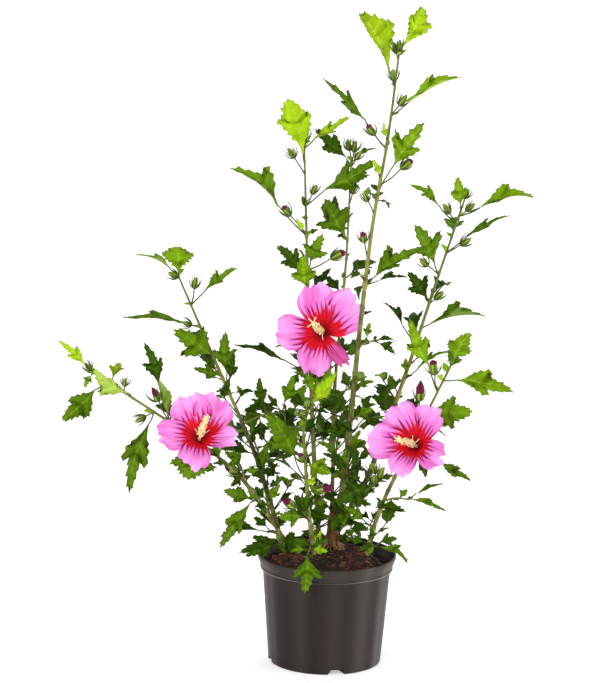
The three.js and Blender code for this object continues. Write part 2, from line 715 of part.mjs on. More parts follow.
function makeCanes() {
  for (const [name, cane] of Object.entries(canes)) {
    const curve = curveOf(cane.path);
    const fromSoil = curve.getPointAt(0).z < soil.top;
    const radiusAt = (share) => {
      const flare = fromSoil ? Math.max(0, 1 - share * 12) * 1.2 : 0;
      return THREE.MathUtils.lerp(cane.foot, cane.tip, share) + flare;
    };
    const leafy = shareAt(curve, cane.leafyFrom);
    let solid = limb(curve, radiusAt, 0, leafy);
    if (fromSoil) solid = aboveSoil(solid);
    else solid = solid.subtract(limbs.stump.cutter);
    limbs[name] = { curve, radiusAt, leafy, cutter: limb(curve, radiusAt, 0, leafy, clearance) };
    standing.set(`stem_${name}`, solid);
    addPiece(`stem_${name}`, solid, colours.cane, 0.8);
  }
}

// ---------------------------------------------------------------- blooms

function bloomFrame({ throat, faces }) {
  const axis = vector(faces).normalize();
  const right = new THREE.Vector3().crossVectors(vector([0, 0, 1]), axis).normalize();
  return { middle: vector(throat), axis, right, up: new THREE.Vector3().crossVectors(axis, right) };
}

function bloomSeat(bloom) {
  const { middle, axis } = bloomFrame(bloom);
  return middle.addScaledVector(axis, -bloomForm.depth - bloomForm.calyx);
}

function makeBloom(name, bloom) {
  const { middle, axis, right, up } = bloomFrame(bloom);
  const { depth, column, columnRadius, anthers, calyx } = bloomForm;
  const back = middle.clone().addScaledVector(axis, -depth);
  const parts = [];
  for (const [bearing, reach, width] of bloom.petals) {
    const angle = THREE.MathUtils.degToRad(bearing);
    const out = right.clone().multiplyScalar(Math.cos(angle)).addScaledVector(up, Math.sin(angle));
    const tip = middle.clone().addScaledVector(out, reach).addScaledVector(axis, 2);
    const base = back.clone().addScaledVector(out, 4);
    parts.push(blade(back.clone().addScaledVector(axis, -3), base, tip, axis, width, "petal", 1.5));
  }
  const lean = vector(bloom.leans);
  const columnAt = (share) => {
    const forward = column * share * (1.3 - 0.3 * share);
    return back.clone().addScaledVector(axis, forward).addScaledVector(lean, column * share * share);
  };
  parts.push(
    tube([0, 0.35, 0.6, 0.95, 1].map(columnAt), [columnRadius, columnRadius, anthers, anthers, 1.5], 6),
    tube([-calyx, -calyx * 0.5, 3].map((d) => back.clone().addScaledVector(axis, d)), [2, 6, 7], 6),
  );
  join(name, parts, colours.petal);
}

// ---------------------------------------------------------------- shoots

const random = (seed) => () => {
  seed = (seed * 9301 + 49297) % 233280;
  return seed / 233280;
};

// A side shoot's twig bows upward a little on its way out of the cane.
function twigOf({ cane, at, twig }) {
  const curve = limbs[cane].curve;
  const root = curve.getPointAt(shareAt(curve, at));
  const tip = root.clone().add(vector(twig));
  const middle = root.clone().lerp(tip, 0.5);
  middle.z += 0.08 * root.distanceTo(tip);
  return new THREE.CatmullRomCurve3([root, middle, tip], false, "centripetal");
}

// The stalk bends into the line of the flower and stops just short of it.
function stalkToBloom(joint, bloom) {
  const { axis } = bloomFrame(bloom);
  const seat = bloomSeat(bloom);
  const behind = (distance) => seat.clone().addScaledVector(axis, -distance);
  return tube([joint, behind(10), behind(clearance)], [1.3, 1.4, 1.7], 5);
}

function makeShoot(name, shoot) {
  const { curve: caneCurve, leafy, radiusAt, cutter } = limbs[shoot.cane];
  const own = shoot.twig ? twigOf(shoot) : caneCurve;
  const jointAt = (joint) => own.getPointAt(shoot.twig ? joint : shareAt(own, joint));
  const parts = [];
  if (shoot.twig) {
    parts.push(limb(own, (share) => 1.7 - 0.6 * share, 0, 1, 0, 4).subtract(cutter));
  } else {
    parts.push(limb(own, radiusAt, leafy + clearance / own.getLength(), 1, 0, 5));
  }
  for (const [joint, right, back, up, ...look] of shoot.leaves) {
    const make = (reach) => leaf(jointAt(joint), reach, ...look);
    parts.push(...clearGrowth(make, vector([right, back, up]), name));
  }
  for (const [joint, right, back, up, length] of shoot.buds ?? []) {
    const make = (reach) => bud(jointAt(joint), reach, length);
    parts.push(...clearGrowth(make, vector([right, back, up]), name));
  }
  if (shoot.bloom) parts.push(stalkToBloom(jointAt(shoot.bloomAt), blooms[shoot.bloom]));
  join(name, parts, colours.leaf);
}

function makeFarShoot(name, shoot) {
  const draw = random(shoot.seed);
  const between = ([low, high]) => low + (high - low) * draw();
  const main = twigOf(shoot);
  const parts = [limb(main, (share) => 1.9 - 0.8 * share, 0, 1, 0, 4).subtract(limbs[shoot.cane].cutter)];
  const middles = [];
  const addLeaves = (twig, count, from) => {
    for (let i = 0; i < count; i++) {
      const share = from + ((1 - from) * (i + 0.5)) / count;
      const bearing = i * farRule.turn + shoot.seed;
      const rise = between(farRule.lift);
      const size = between(farRule.leafLength);
      const level = vector([Math.cos(bearing), Math.sin(bearing), 0]).multiplyScalar(size * Math.cos(rise));
      const reach = level.setZ(size * Math.sin(rise));
      const joint = twig.getPointAt(share);
      const facing = 10 + 30 * draw();
      const middle = joint.clone().addScaledVector(reach, 0.6);
      if (middles.some((other) => other.distanceTo(middle) < farRule.spacing)) continue;
      middles.push(middle);
      parts.push(...clearGrowth((way) => leaf(joint, way, facing), reach, name));
    }
  };
  addLeaves(main, farRule.leaves, 0.2);
  for (const [share, turn] of farRule.forks) {
    const root = main.getPointAt(share);
    const way = main.getTangentAt(share).applyAxisAngle(vector([0, 0, 1]), turn);
    const tip = root.clone().addScaledVector(way, farRule.forkLength * main.getLength());
    const fork = new THREE.CatmullRomCurve3([root, root.clone().lerp(tip, 0.5), tip]);
    const arm = limb(fork, () => 1.2, 0, 1, 0, 3);
    if (!isClear(arm, name)) continue;
    parts.push(arm);
    addLeaves(fork, farRule.forkLeaves, 0.35);
  }
  join(name, parts, colours.leaf);
}

makePot();
makeSoil();
makeStump();
makeCanes();
for (const [name, bloom] of Object.entries(blooms)) makeBloom(name, bloom);
for (const [name, shoot] of Object.entries(shoots)) makeShoot(name, shoot);
for (const [name, shoot] of Object.entries(farShoots)) makeFarShoot(name, shoot);

export default plant;
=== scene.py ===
# A rose of sharon in its nursery pot, on the stems and shoots of the solids, carried to finer leaves.
import math
import random

import bpy
import numpy as np
from mathutils import Matrix, Vector, noise


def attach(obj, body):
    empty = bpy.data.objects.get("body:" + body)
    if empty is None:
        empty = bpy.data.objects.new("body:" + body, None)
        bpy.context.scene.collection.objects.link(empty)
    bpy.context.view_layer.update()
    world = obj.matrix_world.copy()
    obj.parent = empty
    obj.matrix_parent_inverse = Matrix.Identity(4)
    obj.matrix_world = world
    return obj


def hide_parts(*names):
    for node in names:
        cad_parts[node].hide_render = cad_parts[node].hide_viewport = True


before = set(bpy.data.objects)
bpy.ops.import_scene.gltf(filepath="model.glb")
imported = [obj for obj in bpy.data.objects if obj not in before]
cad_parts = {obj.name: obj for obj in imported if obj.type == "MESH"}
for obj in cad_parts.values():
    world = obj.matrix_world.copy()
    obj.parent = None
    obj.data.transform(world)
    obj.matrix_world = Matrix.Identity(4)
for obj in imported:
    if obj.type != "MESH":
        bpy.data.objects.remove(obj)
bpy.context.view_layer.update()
print("frame loaded:", len(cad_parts), "nodes")

# Places and sizes are in millimetres, [right, back, up], and every piece is built in metres.
metre = 1000
fullTurn = 6.28  # the range of a drawn bearing

# the plan of the stump and the canes, as in the solids; foot and tip are radii, and from leafyFrom up
# a cane is in its leafy shoot
stump = {"path": [[4, 30, 120], [7, 28, 165], [11, 24, 216]], "foot": 13, "waist": 8.5, "top": 7.5}
canes = {
    "tall": {
        "path": [
            [11, 24, 200], [18, 21, 229], [28, 8, 340], [39, 0, 486], [52, 0, 620], [69, 0, 736],
            [81, 0, 852],
        ],
        "foot": 4.6, "tip": 1.3, "leafyFrom": 522,
    },
    "back": {
        "path": [[7, 27, 186], [6, 42, 216], [6, 58, 271], [6, 80, 363], [18, 115, 545], [22, 135, 684]],
        "foot": 3, "tip": 1.2, "leafyFrom": 485,
    },
    "right": {
        "path": [
            [8, 28, 163], [28, 39, 200], [48, 48, 234], [103, 82, 386], [140, 102, 505], [182, 125, 636],
        ],
        "foot": 4.2, "tip": 1.2, "leafyFrom": 352,
    },
    "back_left": {
        "path": [[-9, 44, 120], [-12, 46, 169], [-21, 56, 281], [-35, 85, 524], [-44, 100, 708]],
        "foot": 3.9, "tip": 1.2, "leafyFrom": 462,
    },
    "left": {
        "path": [[-56, 14, 120], [-66, 16, 170], [-103, 30, 285], [-151, 50, 389], [-216, 80, 527]],
        "foot": 4, "tip": 1.2, "leafyFrom": 345,
    },
    "far_left": {
        "path": [
            [-32, 9, 120], [-58, 3, 167], [-80, -8, 205], [-118, -26, 261], [-165, -52, 309],
            [-238, -85, 367], [-325, -105, 427],
        ],
        "foot": 3.6, "tip": 1.2, "leafyFrom": 318,
    },
    "front": {
        "path": [
            [-12, -6, 120], [-21, -22, 178], [-27, -34, 224], [-33, -56, 300], [-36, -74, 345],
            [-31, -80, 374],
        ],
        "foot": 3.4, "tip": 1.6, "leafyFrom": 205,
    },
    "low_right": {
        "path": [[50, -6, 120], [60, -14, 180], [76, -34, 238], [97, -50, 292], [170, -90, 464]],
        "foot": 3.5, "tip": 1.2, "leafyFrom": 338,
    },
}
# the height of the soil inside and at the wall, and how far its crown is level
soilTop, soilEdge, soilCrown = 154, 144, 66


class Spline:
    # a centripetal Catmull-Rom curve through a few places, walked by the share of its length
    def __init__(self, places):
        self.points = [np.array(place, float) for place in places]
        divisions = 200
        self.times = np.linspace(0, 1, divisions + 1)
        trail = np.array([self.at(time) for time in self.times])
        self.lengths = np.concatenate([[0], np.cumsum(np.linalg.norm(np.diff(trail, axis=0), axis=1))])
        self.length = self.lengths[-1]

    def at(self, time):
        points = self.points
        last = len(points) - 1
        place = last * time
        index = min(int(place), last - 1)
        weight = place - index
        here = points[index]
        ahead = points[index + 1]
        before = points[index - 1] if index > 0 else 2 * points[0] - points[1]
        after = points[index + 2] if index + 2 <= last else 2 * points[last] - points[last - 1]
        steps = [np.sqrt(np.linalg.norm(b - a)) for a, b in ((before, here), (here, ahead), (ahead, after))]
        first, middle, third = steps
        start = (here - before) / first - (ahead - before) / (first + middle) + (ahead - here) / middle
        end = (ahead - here) / middle - (after - here) / (middle + third) + (after - ahead) / third
        start = start * middle
        end = end * middle
        square = -3 * here + 3 * ahead - 2 * start - end
        cube = 2 * here - 2 * ahead + start + end
        return here + weight * (start + weight * (square + weight * cube))

    def timeOf(self, share):
        return float(np.interp(share * self.length, self.lengths, self.times))

    def along(self, share):
        return self.at(self.timeOf(share))

    def heading(self, share):
        time = self.timeOf(share)
        step = 0.0001
        way = self.at(min(1, time + step)) - self.at(max(0, time - step))
        return unit(way)

    def shareAt(self, height):
        low, high = 0, 1
        for _ in range(24):  # each one halves the range
            middle = (low + high) / 2
            if self.along(middle)[2] < height:
                low = middle
            else:
                high = middle
        return (low + high) / 2


def unit(way):
    return way / np.linalg.norm(way)


def turnedBy(way, angle):
    cosine, sine = math.cos(angle), math.sin(angle)
    return np.array([way[0] * cosine - way[1] * sine, way[0] * sine + way[1] * cosine, way[2]])


def spoke(right, up, angle):
    # the way out from a hub at this angle
    return right * math.cos(angle) + up * math.sin(angle)


def anyWay(draw):
    return np.array([draw.uniform(-1, 1) for _ in range(3)])


def ringNoise(angles, spread, height):
    # soft random relief round a stem, finer where spread is wide
    places = [Vector((math.cos(a) * spread, math.sin(a) * spread, height)) for a in angles]
    return np.array([noise.noise(place) for place in places])


def standing(name, data):
    # a new object in the scene
    made = bpy.data.objects.new(name, data)
    bpy.context.scene.collection.objects.link(made)
    return made


caneCurves = {name: Spline(plan["path"]) for name, plan in canes.items()}
caneCurves["stump"] = Spline(stump["path"])


class Pile:
    # gathers many small meshes of one kind and builds them as one piece
    def __init__(self):
        self.points = []
        self.faces = []
        self.slots = []
        self.values = {}
        self.count = 0

    def add(self, points, faces, slots=0, **values):
        points = np.asarray(points, float).reshape(-1, 3)
        self.points.append(points)
        self.faces.append(np.asarray(faces) + self.count)
        self.slots.append(np.broadcast_to(slots, len(faces)))
        for name, value in values.items():
            self.values.setdefault(name, []).append(np.broadcast_to(value, len(points)))
        self.count += len(points)

    def build(self, name, materials, slot, nodes=(), smooth=True):
        mesh = bpy.data.meshes.new(name)
        faces = [tuple(face) for group in self.faces for face in group.tolist()]
        mesh.from_pydata((np.concatenate(self.points) / metre).tolist(), [], faces)
        mesh.polygons.foreach_set("material_index", np.concatenate(self.slots).astype(np.int32))
        mesh.polygons.foreach_set("use_smooth", np.full(len(faces), smooth))
        for key, value in self.values.items():
            layer = mesh.attributes.new(key, "FLOAT", "POINT")
            layer.data.foreach_set("value", np.concatenate(value).astype(np.float32))
        for material in materials:
            mesh.materials.append(material)
        sharpenBetweenSlots(mesh)
        mesh.update()
        piece = standing(name, mesh)
        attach(piece, "root")
        if nodes:
            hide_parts(*nodes)
        print(name, len(faces), "faces")


def sharpenBetweenSlots(mesh):
    # an edge where two finishes meet is a crisp one
    if len(mesh.materials) < 2:
        return
    loopEdges = np.zeros(len(mesh.loops), np.int32)
    mesh.loops.foreach_get("edge_index", loopEdges)
    totals = np.zeros(len(mesh.polygons), np.int32)
    mesh.polygons.foreach_get("loop_total", totals)
    slots = np.zeros(len(mesh.polygons), np.int32)
    mesh.polygons.foreach_get("material_index", slots)
    loopSlots = np.repeat(slots, totals)
    lowest = np.full(len(mesh.edges), len(mesh.materials))
    highest = np.full(len(mesh.edges), -1)
    np.minimum.at(lowest, loopEdges, loopSlots)
    np.maximum.at(highest, loopEdges, loopSlots)
    crisp = mesh.attributes.new("sharp_edge", "BOOLEAN", "EDGE")
    crisp.data.foreach_set("value", lowest != highest)


def hoopFaces(rings, sides):
    # the faces of a wall of rings that each have the same number of points
    index = np.arange(rings * sides).reshape(rings, sides)
    beside = np.roll(index, -1, 1)
    corners = [index[:-1], beside[:-1], beside[1:], index[1:]]
    return np.stack([corner.ravel() for corner in corners], 1)


def around(sides):
    # the angles of the sides of a tube
    return np.linspace(0, 2 * math.pi, sides, endpoint=False)


def tubeInto(pile, points, radii, sides, relief=None, **values):
    # a closed tube round a chain of points; relief gives each of its rings a row of factors of the radius
    points = np.asarray(points, float)
    ahead = np.gradient(points, axis=0)
    ahead /= np.linalg.norm(ahead, axis=1)[:, None]
    start = np.array([0, 1, 0]) if abs(ahead[0][1]) < 0.9 else np.array([1, 0, 0])
    side = np.cross(ahead[0], start)
    rings = []
    angles = around(sides)
    for point, way, radius, factors in zip(points, ahead, radii, relief or np.ones((len(points), sides))):
        side = unit(side - way * side.dot(way))
        up = np.cross(way, side)
        reach = radius * factors
        rings.append(point + np.outer(np.cos(angles) * reach, side) + np.outer(np.sin(angles) * reach, up))
    grid = np.concatenate(rings + [points[:1], points[-1:]])
    count = len(points)
    pile.add(grid, hoopFaces(count, sides), **values)
    # the two ends, each closed by a fan round one more point
    near = np.arange(sides)
    far = (near + 1) % sides
    top = (count - 1) * sides
    caps = [(count * sides, b, a) for a, b in zip(near, far)]
    caps += [(count * sides + 1, top + a, top + b) for a, b in zip(near, far)]
    pile.faces.append(np.asarray(caps) + pile.count - len(grid))
    pile.slots.append(np.broadcast_to(0, len(caps)))


sheetPlans = {}


def sheetPlan(rows, columns):
    # the faces of a thin closed sheet: an upper and a lower grid that share their rim
    if (rows, columns) in sheetPlans:
        return sheetPlans[rows, columns]
    upper = np.arange(rows * columns).reshape(rows, columns)
    lower = upper.copy()
    inside = upper[1:-1, 1:-1]
    lower[1:-1, 1:-1] = rows * columns + np.arange(inside.size).reshape(inside.shape)
    quads = []
    for grid, flip in ((upper, False), (lower, True)):
        corners = [grid[:-1, :-1], grid[:-1, 1:], grid[1:, 1:], grid[1:, :-1]]
        if flip:
            corners.reverse()
        quads.append(np.stack([corner.ravel() for corner in corners], 1))
    slots = np.repeat([0, 1], len(quads[0]))
    sheetPlans[rows, columns] = (np.concatenate(quads), slots)
    return sheetPlans[rows, columns]


def sheetInto(pile, grid, lift, **values):
    # grid is rows by columns of points; lift is half the sheet's thickness as a vector
    rows, columns = grid.shape[:2]
    faces, slots = sheetPlan(rows, columns)
    upper = grid.copy()
    upper[1:-1, 1:-1] += lift
    lower = (grid - lift)[1:-1, 1:-1]
    points = np.concatenate([upper.reshape(-1, 3), lower.reshape(-1, 3)])
    whole = {name: np.broadcast_to(value, (rows, columns)) for name, value in values.items()}
    flat = {name: np.concatenate([value.ravel(), value[1:-1, 1:-1].ravel()]) for name, value in whole.items()}
    pile.add(points, faces, slots, **flat)


class Wire:
    # a socket that takes part in sums
    def __init__(self, shade, socket):
        self.shade = shade
        self.socket = socket

    def math(self, operation, first, second):
        return self.shade.node("ShaderNodeMath", {"operation": operation}, {0: first, 1: second})

    def __add__(self, other):
        return self.math("ADD", self, other)

    def __radd__(self, other):
        return self.math("ADD", other, self)

    def __sub__(self, other):
        return self.math("SUBTRACT", self, other)

    def __rsub__(self, other):
        return self.math("SUBTRACT", other, self)

    def __mul__(self, other):
        return self.math("MULTIPLY", self, other)

    def __rmul__(self, other):
        return self.math("MULTIPLY", other, self)

    def __pow__(self, other):
        return self.math("POWER", self, other)


class Shade:
    # one procedural material
    def __init__(self, name, roughness, **constants):
        self.material = bpy.data.materials.new(name)
        self.material.use_nodes = True
        self.tree = self.material.node_tree
        self.shader = self.tree.nodes["Principled BSDF"]
        self.shader.inputs["Roughness"].default_value = roughness
        for key, value in constants.items():
            self.shader.inputs[key.replace("_", " ")].default_value = value

    def node(self, kind, settings=None, links=None, output=0):
        made = self.tree.nodes.new(kind)
        for key, value in (settings or {}).items():
            setattr(made, key, value)
        for key, value in (links or {}).items():
            self.plug(made.inputs[key], value)
        return Wire(self, made.outputs[output])

    def plug(self, socket, value):
        if isinstance(value, Wire):
            self.tree.links.new(value.socket, socket)
        elif socket.type == "RGBA" and len(value) == 3:
            socket.default_value = (*value, 1)
        else:
            socket.default_value = value

    def value(self, name):
        return self.node("ShaderNodeAttribute", {"attribute_name": name}, output="Fac")

    def place(self):
        return self.node("ShaderNodeTexCoord", output="Object")

    def vector(self, x, y, z):
        return self.node("ShaderNodeCombineXYZ", None, {0: x, 1: y, 2: z})

    def noise(self, scale, detail=3, where=None, stretch=None):
        where = where or self.place()
        if stretch:
            where = self.node("ShaderNodeVectorMath", {"operation": "MULTIPLY"}, {0: where, 1: stretch})
        return self.node("ShaderNodeTexNoise", None, {"Vector": where, "Scale": scale, "Detail": detail})

    def smooth(self, value, low, high):
        settings = {"interpolation_type": "SMOOTHSTEP"}
        return self.node("ShaderNodeMapRange", settings, {"Value": value, 1: low, 2: high})

    def mix(self, mask, first, second):
        return self.node("ShaderNodeMix", {"data_type": "RGBA"}, {0: mask, 6: first, 7: second}, 2)

    def finish(self, colour, roughness, height, strength, distance=0.0005):
        self.plug(self.shader.inputs["Base Color"], colour)
        if roughness is not None:
            self.plug(self.shader.inputs["Roughness"], roughness)
        relief = {"Height": height, "Strength": strength, "Distance": distance}
        self.plug(self.shader.inputs["Normal"], self.node("ShaderNodeBump", None, relief))
        return self.material


def tint(red, green, blue):
    # a colour as seen on a screen, from 0 to 255, in linear light
    shares = [part / 255 for part in (red, green, blue)]
    return tuple(((share + 0.055) / 1.055) ** 2.4 if share > 0.04 else share / 12.92 for share in shares)


def scaled(colour, share):
    return tuple(min(1, part * share) for part in colour)


# four tones of one leaf, each leaf given one: partly the leaves' own greens, partly painted shade and light
# for how brightly each leaf is lit
leafTints = {
    "lime": {"top": tint(146, 180, 14), "under": tint(158, 184, 76), "vein": tint(192, 218, 72)},
    "fresh": {"top": tint(114, 150, 8), "under": tint(138, 164, 62), "vein": tint(160, 196, 56)},
    "mid": {"top": tint(92, 127, 8), "under": tint(116, 146, 58), "vein": tint(126, 162, 40)},
    "dark": {"top": tint(52, 80, 6), "under": tint(84, 110, 44), "vein": tint(84, 112, 26)},
}


def leafFinish(name, colour, vein, gloss):
    shade = Shade(name, roughness=gloss, Specular_IOR_Level=0.05)
    blotch = shade.noise(70, 4)
    # leafShade darkens or lightens a whole blade: a random tone, and for some leaves painted shade and light
    leafShade = shade.value("leafShade")
    base = shade.mix(leafShade, scaled(colour, 0.62), scaled(colour, 1.3))
    mottled = shade.mix(shade.smooth(blotch, 0.35, 0.75) * 0.4, base, scaled(colour, 1.4))
    ribs = shade.value("rib") ** 5
    grain = shade.noise(900, 2)
    # painted shade: each blade darkens towards its rim, a dark outline
    edged = shade.mix(shade.value("edge") * 0.5, mottled, scaled(colour, 0.3))
    return shade.finish(
        shade.mix(ribs * 0.6, edged, vein),
        grain * 0.2 + (gloss - 0.1),
        grain * 0.3 + ribs * 0.7 + blotch * 1.2,
        0.4,
    )


def leafFinishes(tone):
    tints = leafTints[tone]
    return [
        leafFinish(f"{tone} leaf face", tints["top"], tints["vein"], 0.42),
        leafFinish(f"{tone} leaf underside", tints["under"], scaled(tints["under"], 1.25), 0.7),
    ]


def barkFinish(name, light, dark, fleck, scale=1.0):
    shade = Shade(name, roughness=0.75, Specular_IOR_Level=0.2)
    furrow = shade.noise(260 * scale, 5, stretch=(1, 1, 0.22))
    broad = shade.noise(38 * scale, 3)
    spots = shade.smooth(shade.noise(420 * scale, 2, stretch=(1, 1, 0.6)), 0.62, 0.72)
    colour = shade.mix(shade.smooth(furrow * 0.5 + broad * 0.5, 0.38, 0.62), dark, light)
    colour = shade.mix(spots * 0.6, colour, fleck)
    # painted shade: the canes darken at mid height, inside the crown
    colour = shade.mix(shade.value("gloom"), colour, tint(46, 42, 16))
    return shade.finish(colour, 0.62 + furrow * 0.25, furrow + spots * 0.6, 0.6, 0.0006)


def greenStemFinish():
    shade = Shade("young green bark", roughness=0.6, Specular_IOR_Level=0.25)
    age = shade.value("age")
    streak = shade.noise(300, 3, stretch=(1, 1, 0.2))
    young = shade.mix(streak, tint(66, 80, 18), tint(112, 130, 44))
    old = shade.mix(streak, tint(96, 92, 34), tint(160, 156, 86))
    whole = shade.mix(shade.value("stalk") * 0.7, shade.mix(age, young, old), tint(56, 62, 22))
    return shade.finish(whole, 0.5 + streak * 0.25, streak, 0.3, 0.0003)


def budFinish(name, low, high):
    shade = Shade(name, roughness=0.6, Specular_IOR_Level=0.2)
    streak = shade.noise(500, 2, stretch=(1, 1, 0.25))
    rise = shade.value("rise")
    colour = shade.mix(rise, low, high)
    return shade.finish(shade.mix(streak * 0.4, colour, low), 0.5 + streak * 0.2, streak, 0.3, 0.0003)


petalTints = {
    "inner": tint(234, 98, 196), "outer": tint(250, 168, 236),
    "patch": tint(224, 72, 184), "shadedFlank": tint(222, 66, 178), "blush": tint(196, 36, 118),
    "vein": tint(216, 66, 166), "flush": tint(214, 24, 90),
    "pale": tint(252, 176, 226), "thread": tint(112, 0, 58),  # the fine lines that run out from the eye
    "eye": tint(148, 3, 12), "eyeRim": tint(216, 12, 36), "eyeThread": tint(126, 0, 18),
}


def petalFinish(name, gain):
    # pink with dark lines that run out from a red eye; gain is below 1 for the backs
    shade = Shade(name, roughness=0.65, Specular_IOR_Level=0.15)
    reach = shade.value("petalReach")
    side = shade.value("petalSide")
    seed = shade.value("petalSeed")
    lines = shade.vector(side * 9, seed * 31, reach * 0.5)
    fine = shade.vector(side * 22, seed * 17, reach * 1.2)
    spikes = shade.noise(1.0, 2, lines)
    streak = shade.smooth(spikes, 0.38, 0.62)
    vein = shade.smooth(shade.noise(1.0, 2, fine), 0.45, 0.62)
    comb = shade.node("ShaderNodeMath", {"operation": "SINE"}, {0: side * 21 + spikes * 7 + seed * 5})
    thread = shade.smooth(comb, 0.3, 0.9)
    pale = shade.smooth(comb, -0.3, -0.9)
    eyeEdge = 0.37 + 0.13 * streak
    eye = 1 - shade.smooth(reach - eyeEdge, -0.04, 0.06)
    threadEnd = 0.46 + 0.4 * spikes
    near = 1 - shade.smooth(reach - threadEnd, -0.14, 0.06)
    flush = 1 - shade.smooth(reach, 0.36, 0.62)
    broad = shade.vector(side * 1.3, seed * 23, reach * 1.6)
    patch = shade.smooth(shade.noise(1.0, 1, broad), 0.48, 0.7)
    rim = shade.mix(shade.smooth(reach, 0.4, 0.95), petalTints["inner"], petalTints["outer"])
    rim = shade.mix(patch * 0.6, rim, petalTints["patch"])
    # painted shade: the petal darkens towards its two sides
    rim = shade.mix(shade.smooth(side * side, 0.5, 1.05) * 0.6, rim, petalTints["shadedFlank"])
    rim = shade.mix(shade.value("blush"), rim, petalTints["blush"])
    veined = shade.mix(vein * 0.4 * (1 - shade.smooth(reach, 0.8, 1.05)), rim, petalTints["vein"])
    warmed = shade.mix(flush * 0.65, veined, petalTints["flush"])
    lit = shade.mix(near * pale * 0.4, warmed, petalTints["pale"])
    blushed = shade.mix(near * thread * 0.95, lit, petalTints["thread"])
    red = shade.mix(shade.smooth(reach, 0.08, 0.3), petalTints["eye"], petalTints["eyeRim"])
    deep = shade.mix(thread * 0.5, red, petalTints["eyeThread"])
    whole = shade.mix(eye, blushed, deep)
    darker = {"data_type": "RGBA", "blend_type": "MULTIPLY"}
    whole = shade.node("ShaderNodeMix", darker, {0: 1.0, 6: whole, 7: (gain, gain, gain)}, 2)
    return shade.finish(whole, 0.6 + vein * 0.12, vein + streak, 0.45, 0.0006)


def plainFinish(name, light, dark, scale, roughness, strength=0.4, distance=0.0005):
    shade = Shade(name, roughness=roughness)
    grain = shade.noise(scale, 4)
    colour = shade.mix(shade.smooth(grain, 0.3, 0.7), dark, light)
    return shade.finish(colour, roughness - 0.08 + grain * 0.16, grain, strength, distance)


potTints = {
    "dark": tint(29, 27, 23), "light": tint(46, 36, 34),
    "sheen": tint(74, 68, 64), "worn": tint(176, 170, 164),
}


def potFinish():
    shade = Shade("moulded pot plastic", roughness=0.3, Specular_IOR_Level=0.1)
    streak = shade.noise(26, 4, stretch=(1, 1, 0.04))
    dust = shade.noise(160, 5)
    colour = shade.mix(streak, potTints["dark"], potTints["light"])
    # painted highlight: pale vertical bands down the wall and round the rim
    colour = shade.mix(shade.value("sheen"), colour, potTints["sheen"])
    # painted highlight: a pale line along the lip under the band
    colour = shade.mix(shade.value("worn") * 0.8, colour, potTints["worn"])
    return shade.finish(colour, 0.26 + streak * 0.12 + dust * 0.06, dust * 0.3 + streak * 0.3, 0.06)


leafForm = {
    "teeth": 10,
    "columns": 4,  # from the midrib to the edge
    "small": 30,  # a leaf shorter than this has fewer teeth and columns
    "smallTeeth": 7,
    "smallColumns": 2,
    "tooth": 0.044,
    "notch": 0.55,  # how deep the gap between two teeth is, by the tooth
    "slant": 0.45,  # how far a side vein runs forward
    "thickness": 0.32,
    "arch": 0.3,
    "curl": [-0.35, 0.6],  # of each half, upward when below 0
    "droop": [-0.1, 0.4],  # of the tip
}
# half outlines: a deeply lobed one and a plain one, and each side of a leaf lies between them
outlines = {
    "lobed": [
        [
            (0, 0.02), (0.1, 0.06), (0.2, 0.16), (0.32, 0.3), (0.45, 0.43), (0.58, 0.5), (0.5, 0.27),
            (0.56, 0.19), (0.7, 0.2), (0.86, 0.12), (1, 0),
        ],
        [
            (0, 0.02), (0.1, 0.07), (0.2, 0.19), (0.31, 0.34), (0.42, 0.44), (0.53, 0.46), (0.6, 0.36),
            (0.68, 0.29), (0.78, 0.24), (0.9, 0.12), (1, 0),
        ],
    ],
    "fan": [
        [
            (0, 0.02), (0.12, 0.05), (0.26, 0.13), (0.42, 0.26), (0.58, 0.4), (0.72, 0.49), (0.68, 0.32),
            (0.76, 0.26), (0.85, 0.24), (0.93, 0.13), (1, 0),
        ],
        [
            (0, 0.02), (0.12, 0.06), (0.26, 0.16), (0.4, 0.3), (0.54, 0.42), (0.66, 0.48), (0.74, 0.42),
            (0.8, 0.35), (0.86, 0.28), (0.94, 0.15), (1, 0),
        ],
    ],
    "young": [
        [
            (0, 0.1), (0.06, 0.22), (0.16, 0.36), (0.3, 0.46), (0.42, 0.48), (0.52, 0.4), (0.6, 0.34),
            (0.7, 0.28), (0.8, 0.2), (0.9, 0.1), (1, 0),
        ],
        [
            (0, 0.1), (0.06, 0.22), (0.16, 0.34), (0.28, 0.42), (0.4, 0.45), (0.52, 0.43), (0.62, 0.38),
            (0.72, 0.31), (0.82, 0.22), (0.91, 0.12), (1, 0),
        ],
    ],
}


def edgeOf(shape, depth, teeth, draw):
    # the toothed edge on one side of the midrib, as rows that end on tooth tips and in the gaps between them
    lobed, plain = np.array(outlines[shape])
    corners = plain + (lobed - plain) * depth
    steps = np.linalg.norm(np.diff(corners, axis=0), axis=1)
    trail = np.concatenate([[0], np.cumsum(steps)]) / steps.sum()
    count = 2 * teeth + 2
    shares = np.linspace(0, 1, count)
    shares[1:-1] += [draw.uniform(-0.3, 0.3) / count for _ in range(count - 2)]
    edge = np.stack([np.interp(shares, trail, corners[:, 0]), np.interp(shares, trail, corners[:, 1])], 1)
    way = np.gradient(edge, axis=0)
    way /= np.linalg.norm(way, axis=1)[:, None]
    outward = np.stack([-way[:, 1], way[:, 0]], 1)
    tips = np.arange(count) % 2
    window = np.clip((shares - 0.14) / 0.12, 0, 1) * np.clip((1 - shares) / 0.1, 0, 1)
    sizes = np.array([draw.uniform(0.5, 1.5) for _ in range(count)])
    bite = leafForm["tooth"] * window * sizes * np.where(tips, 1, -leafForm["notch"])
    room = 0.3 * steps.sum() / count
    slip = np.clip(0.9 * bite, -room, room)
    edge = edge + bite[:, None] * outward + slip[:, None] * way
    return np.clip(edge[:, 0], 0, 1), np.maximum(edge[:, 1], 0.003)


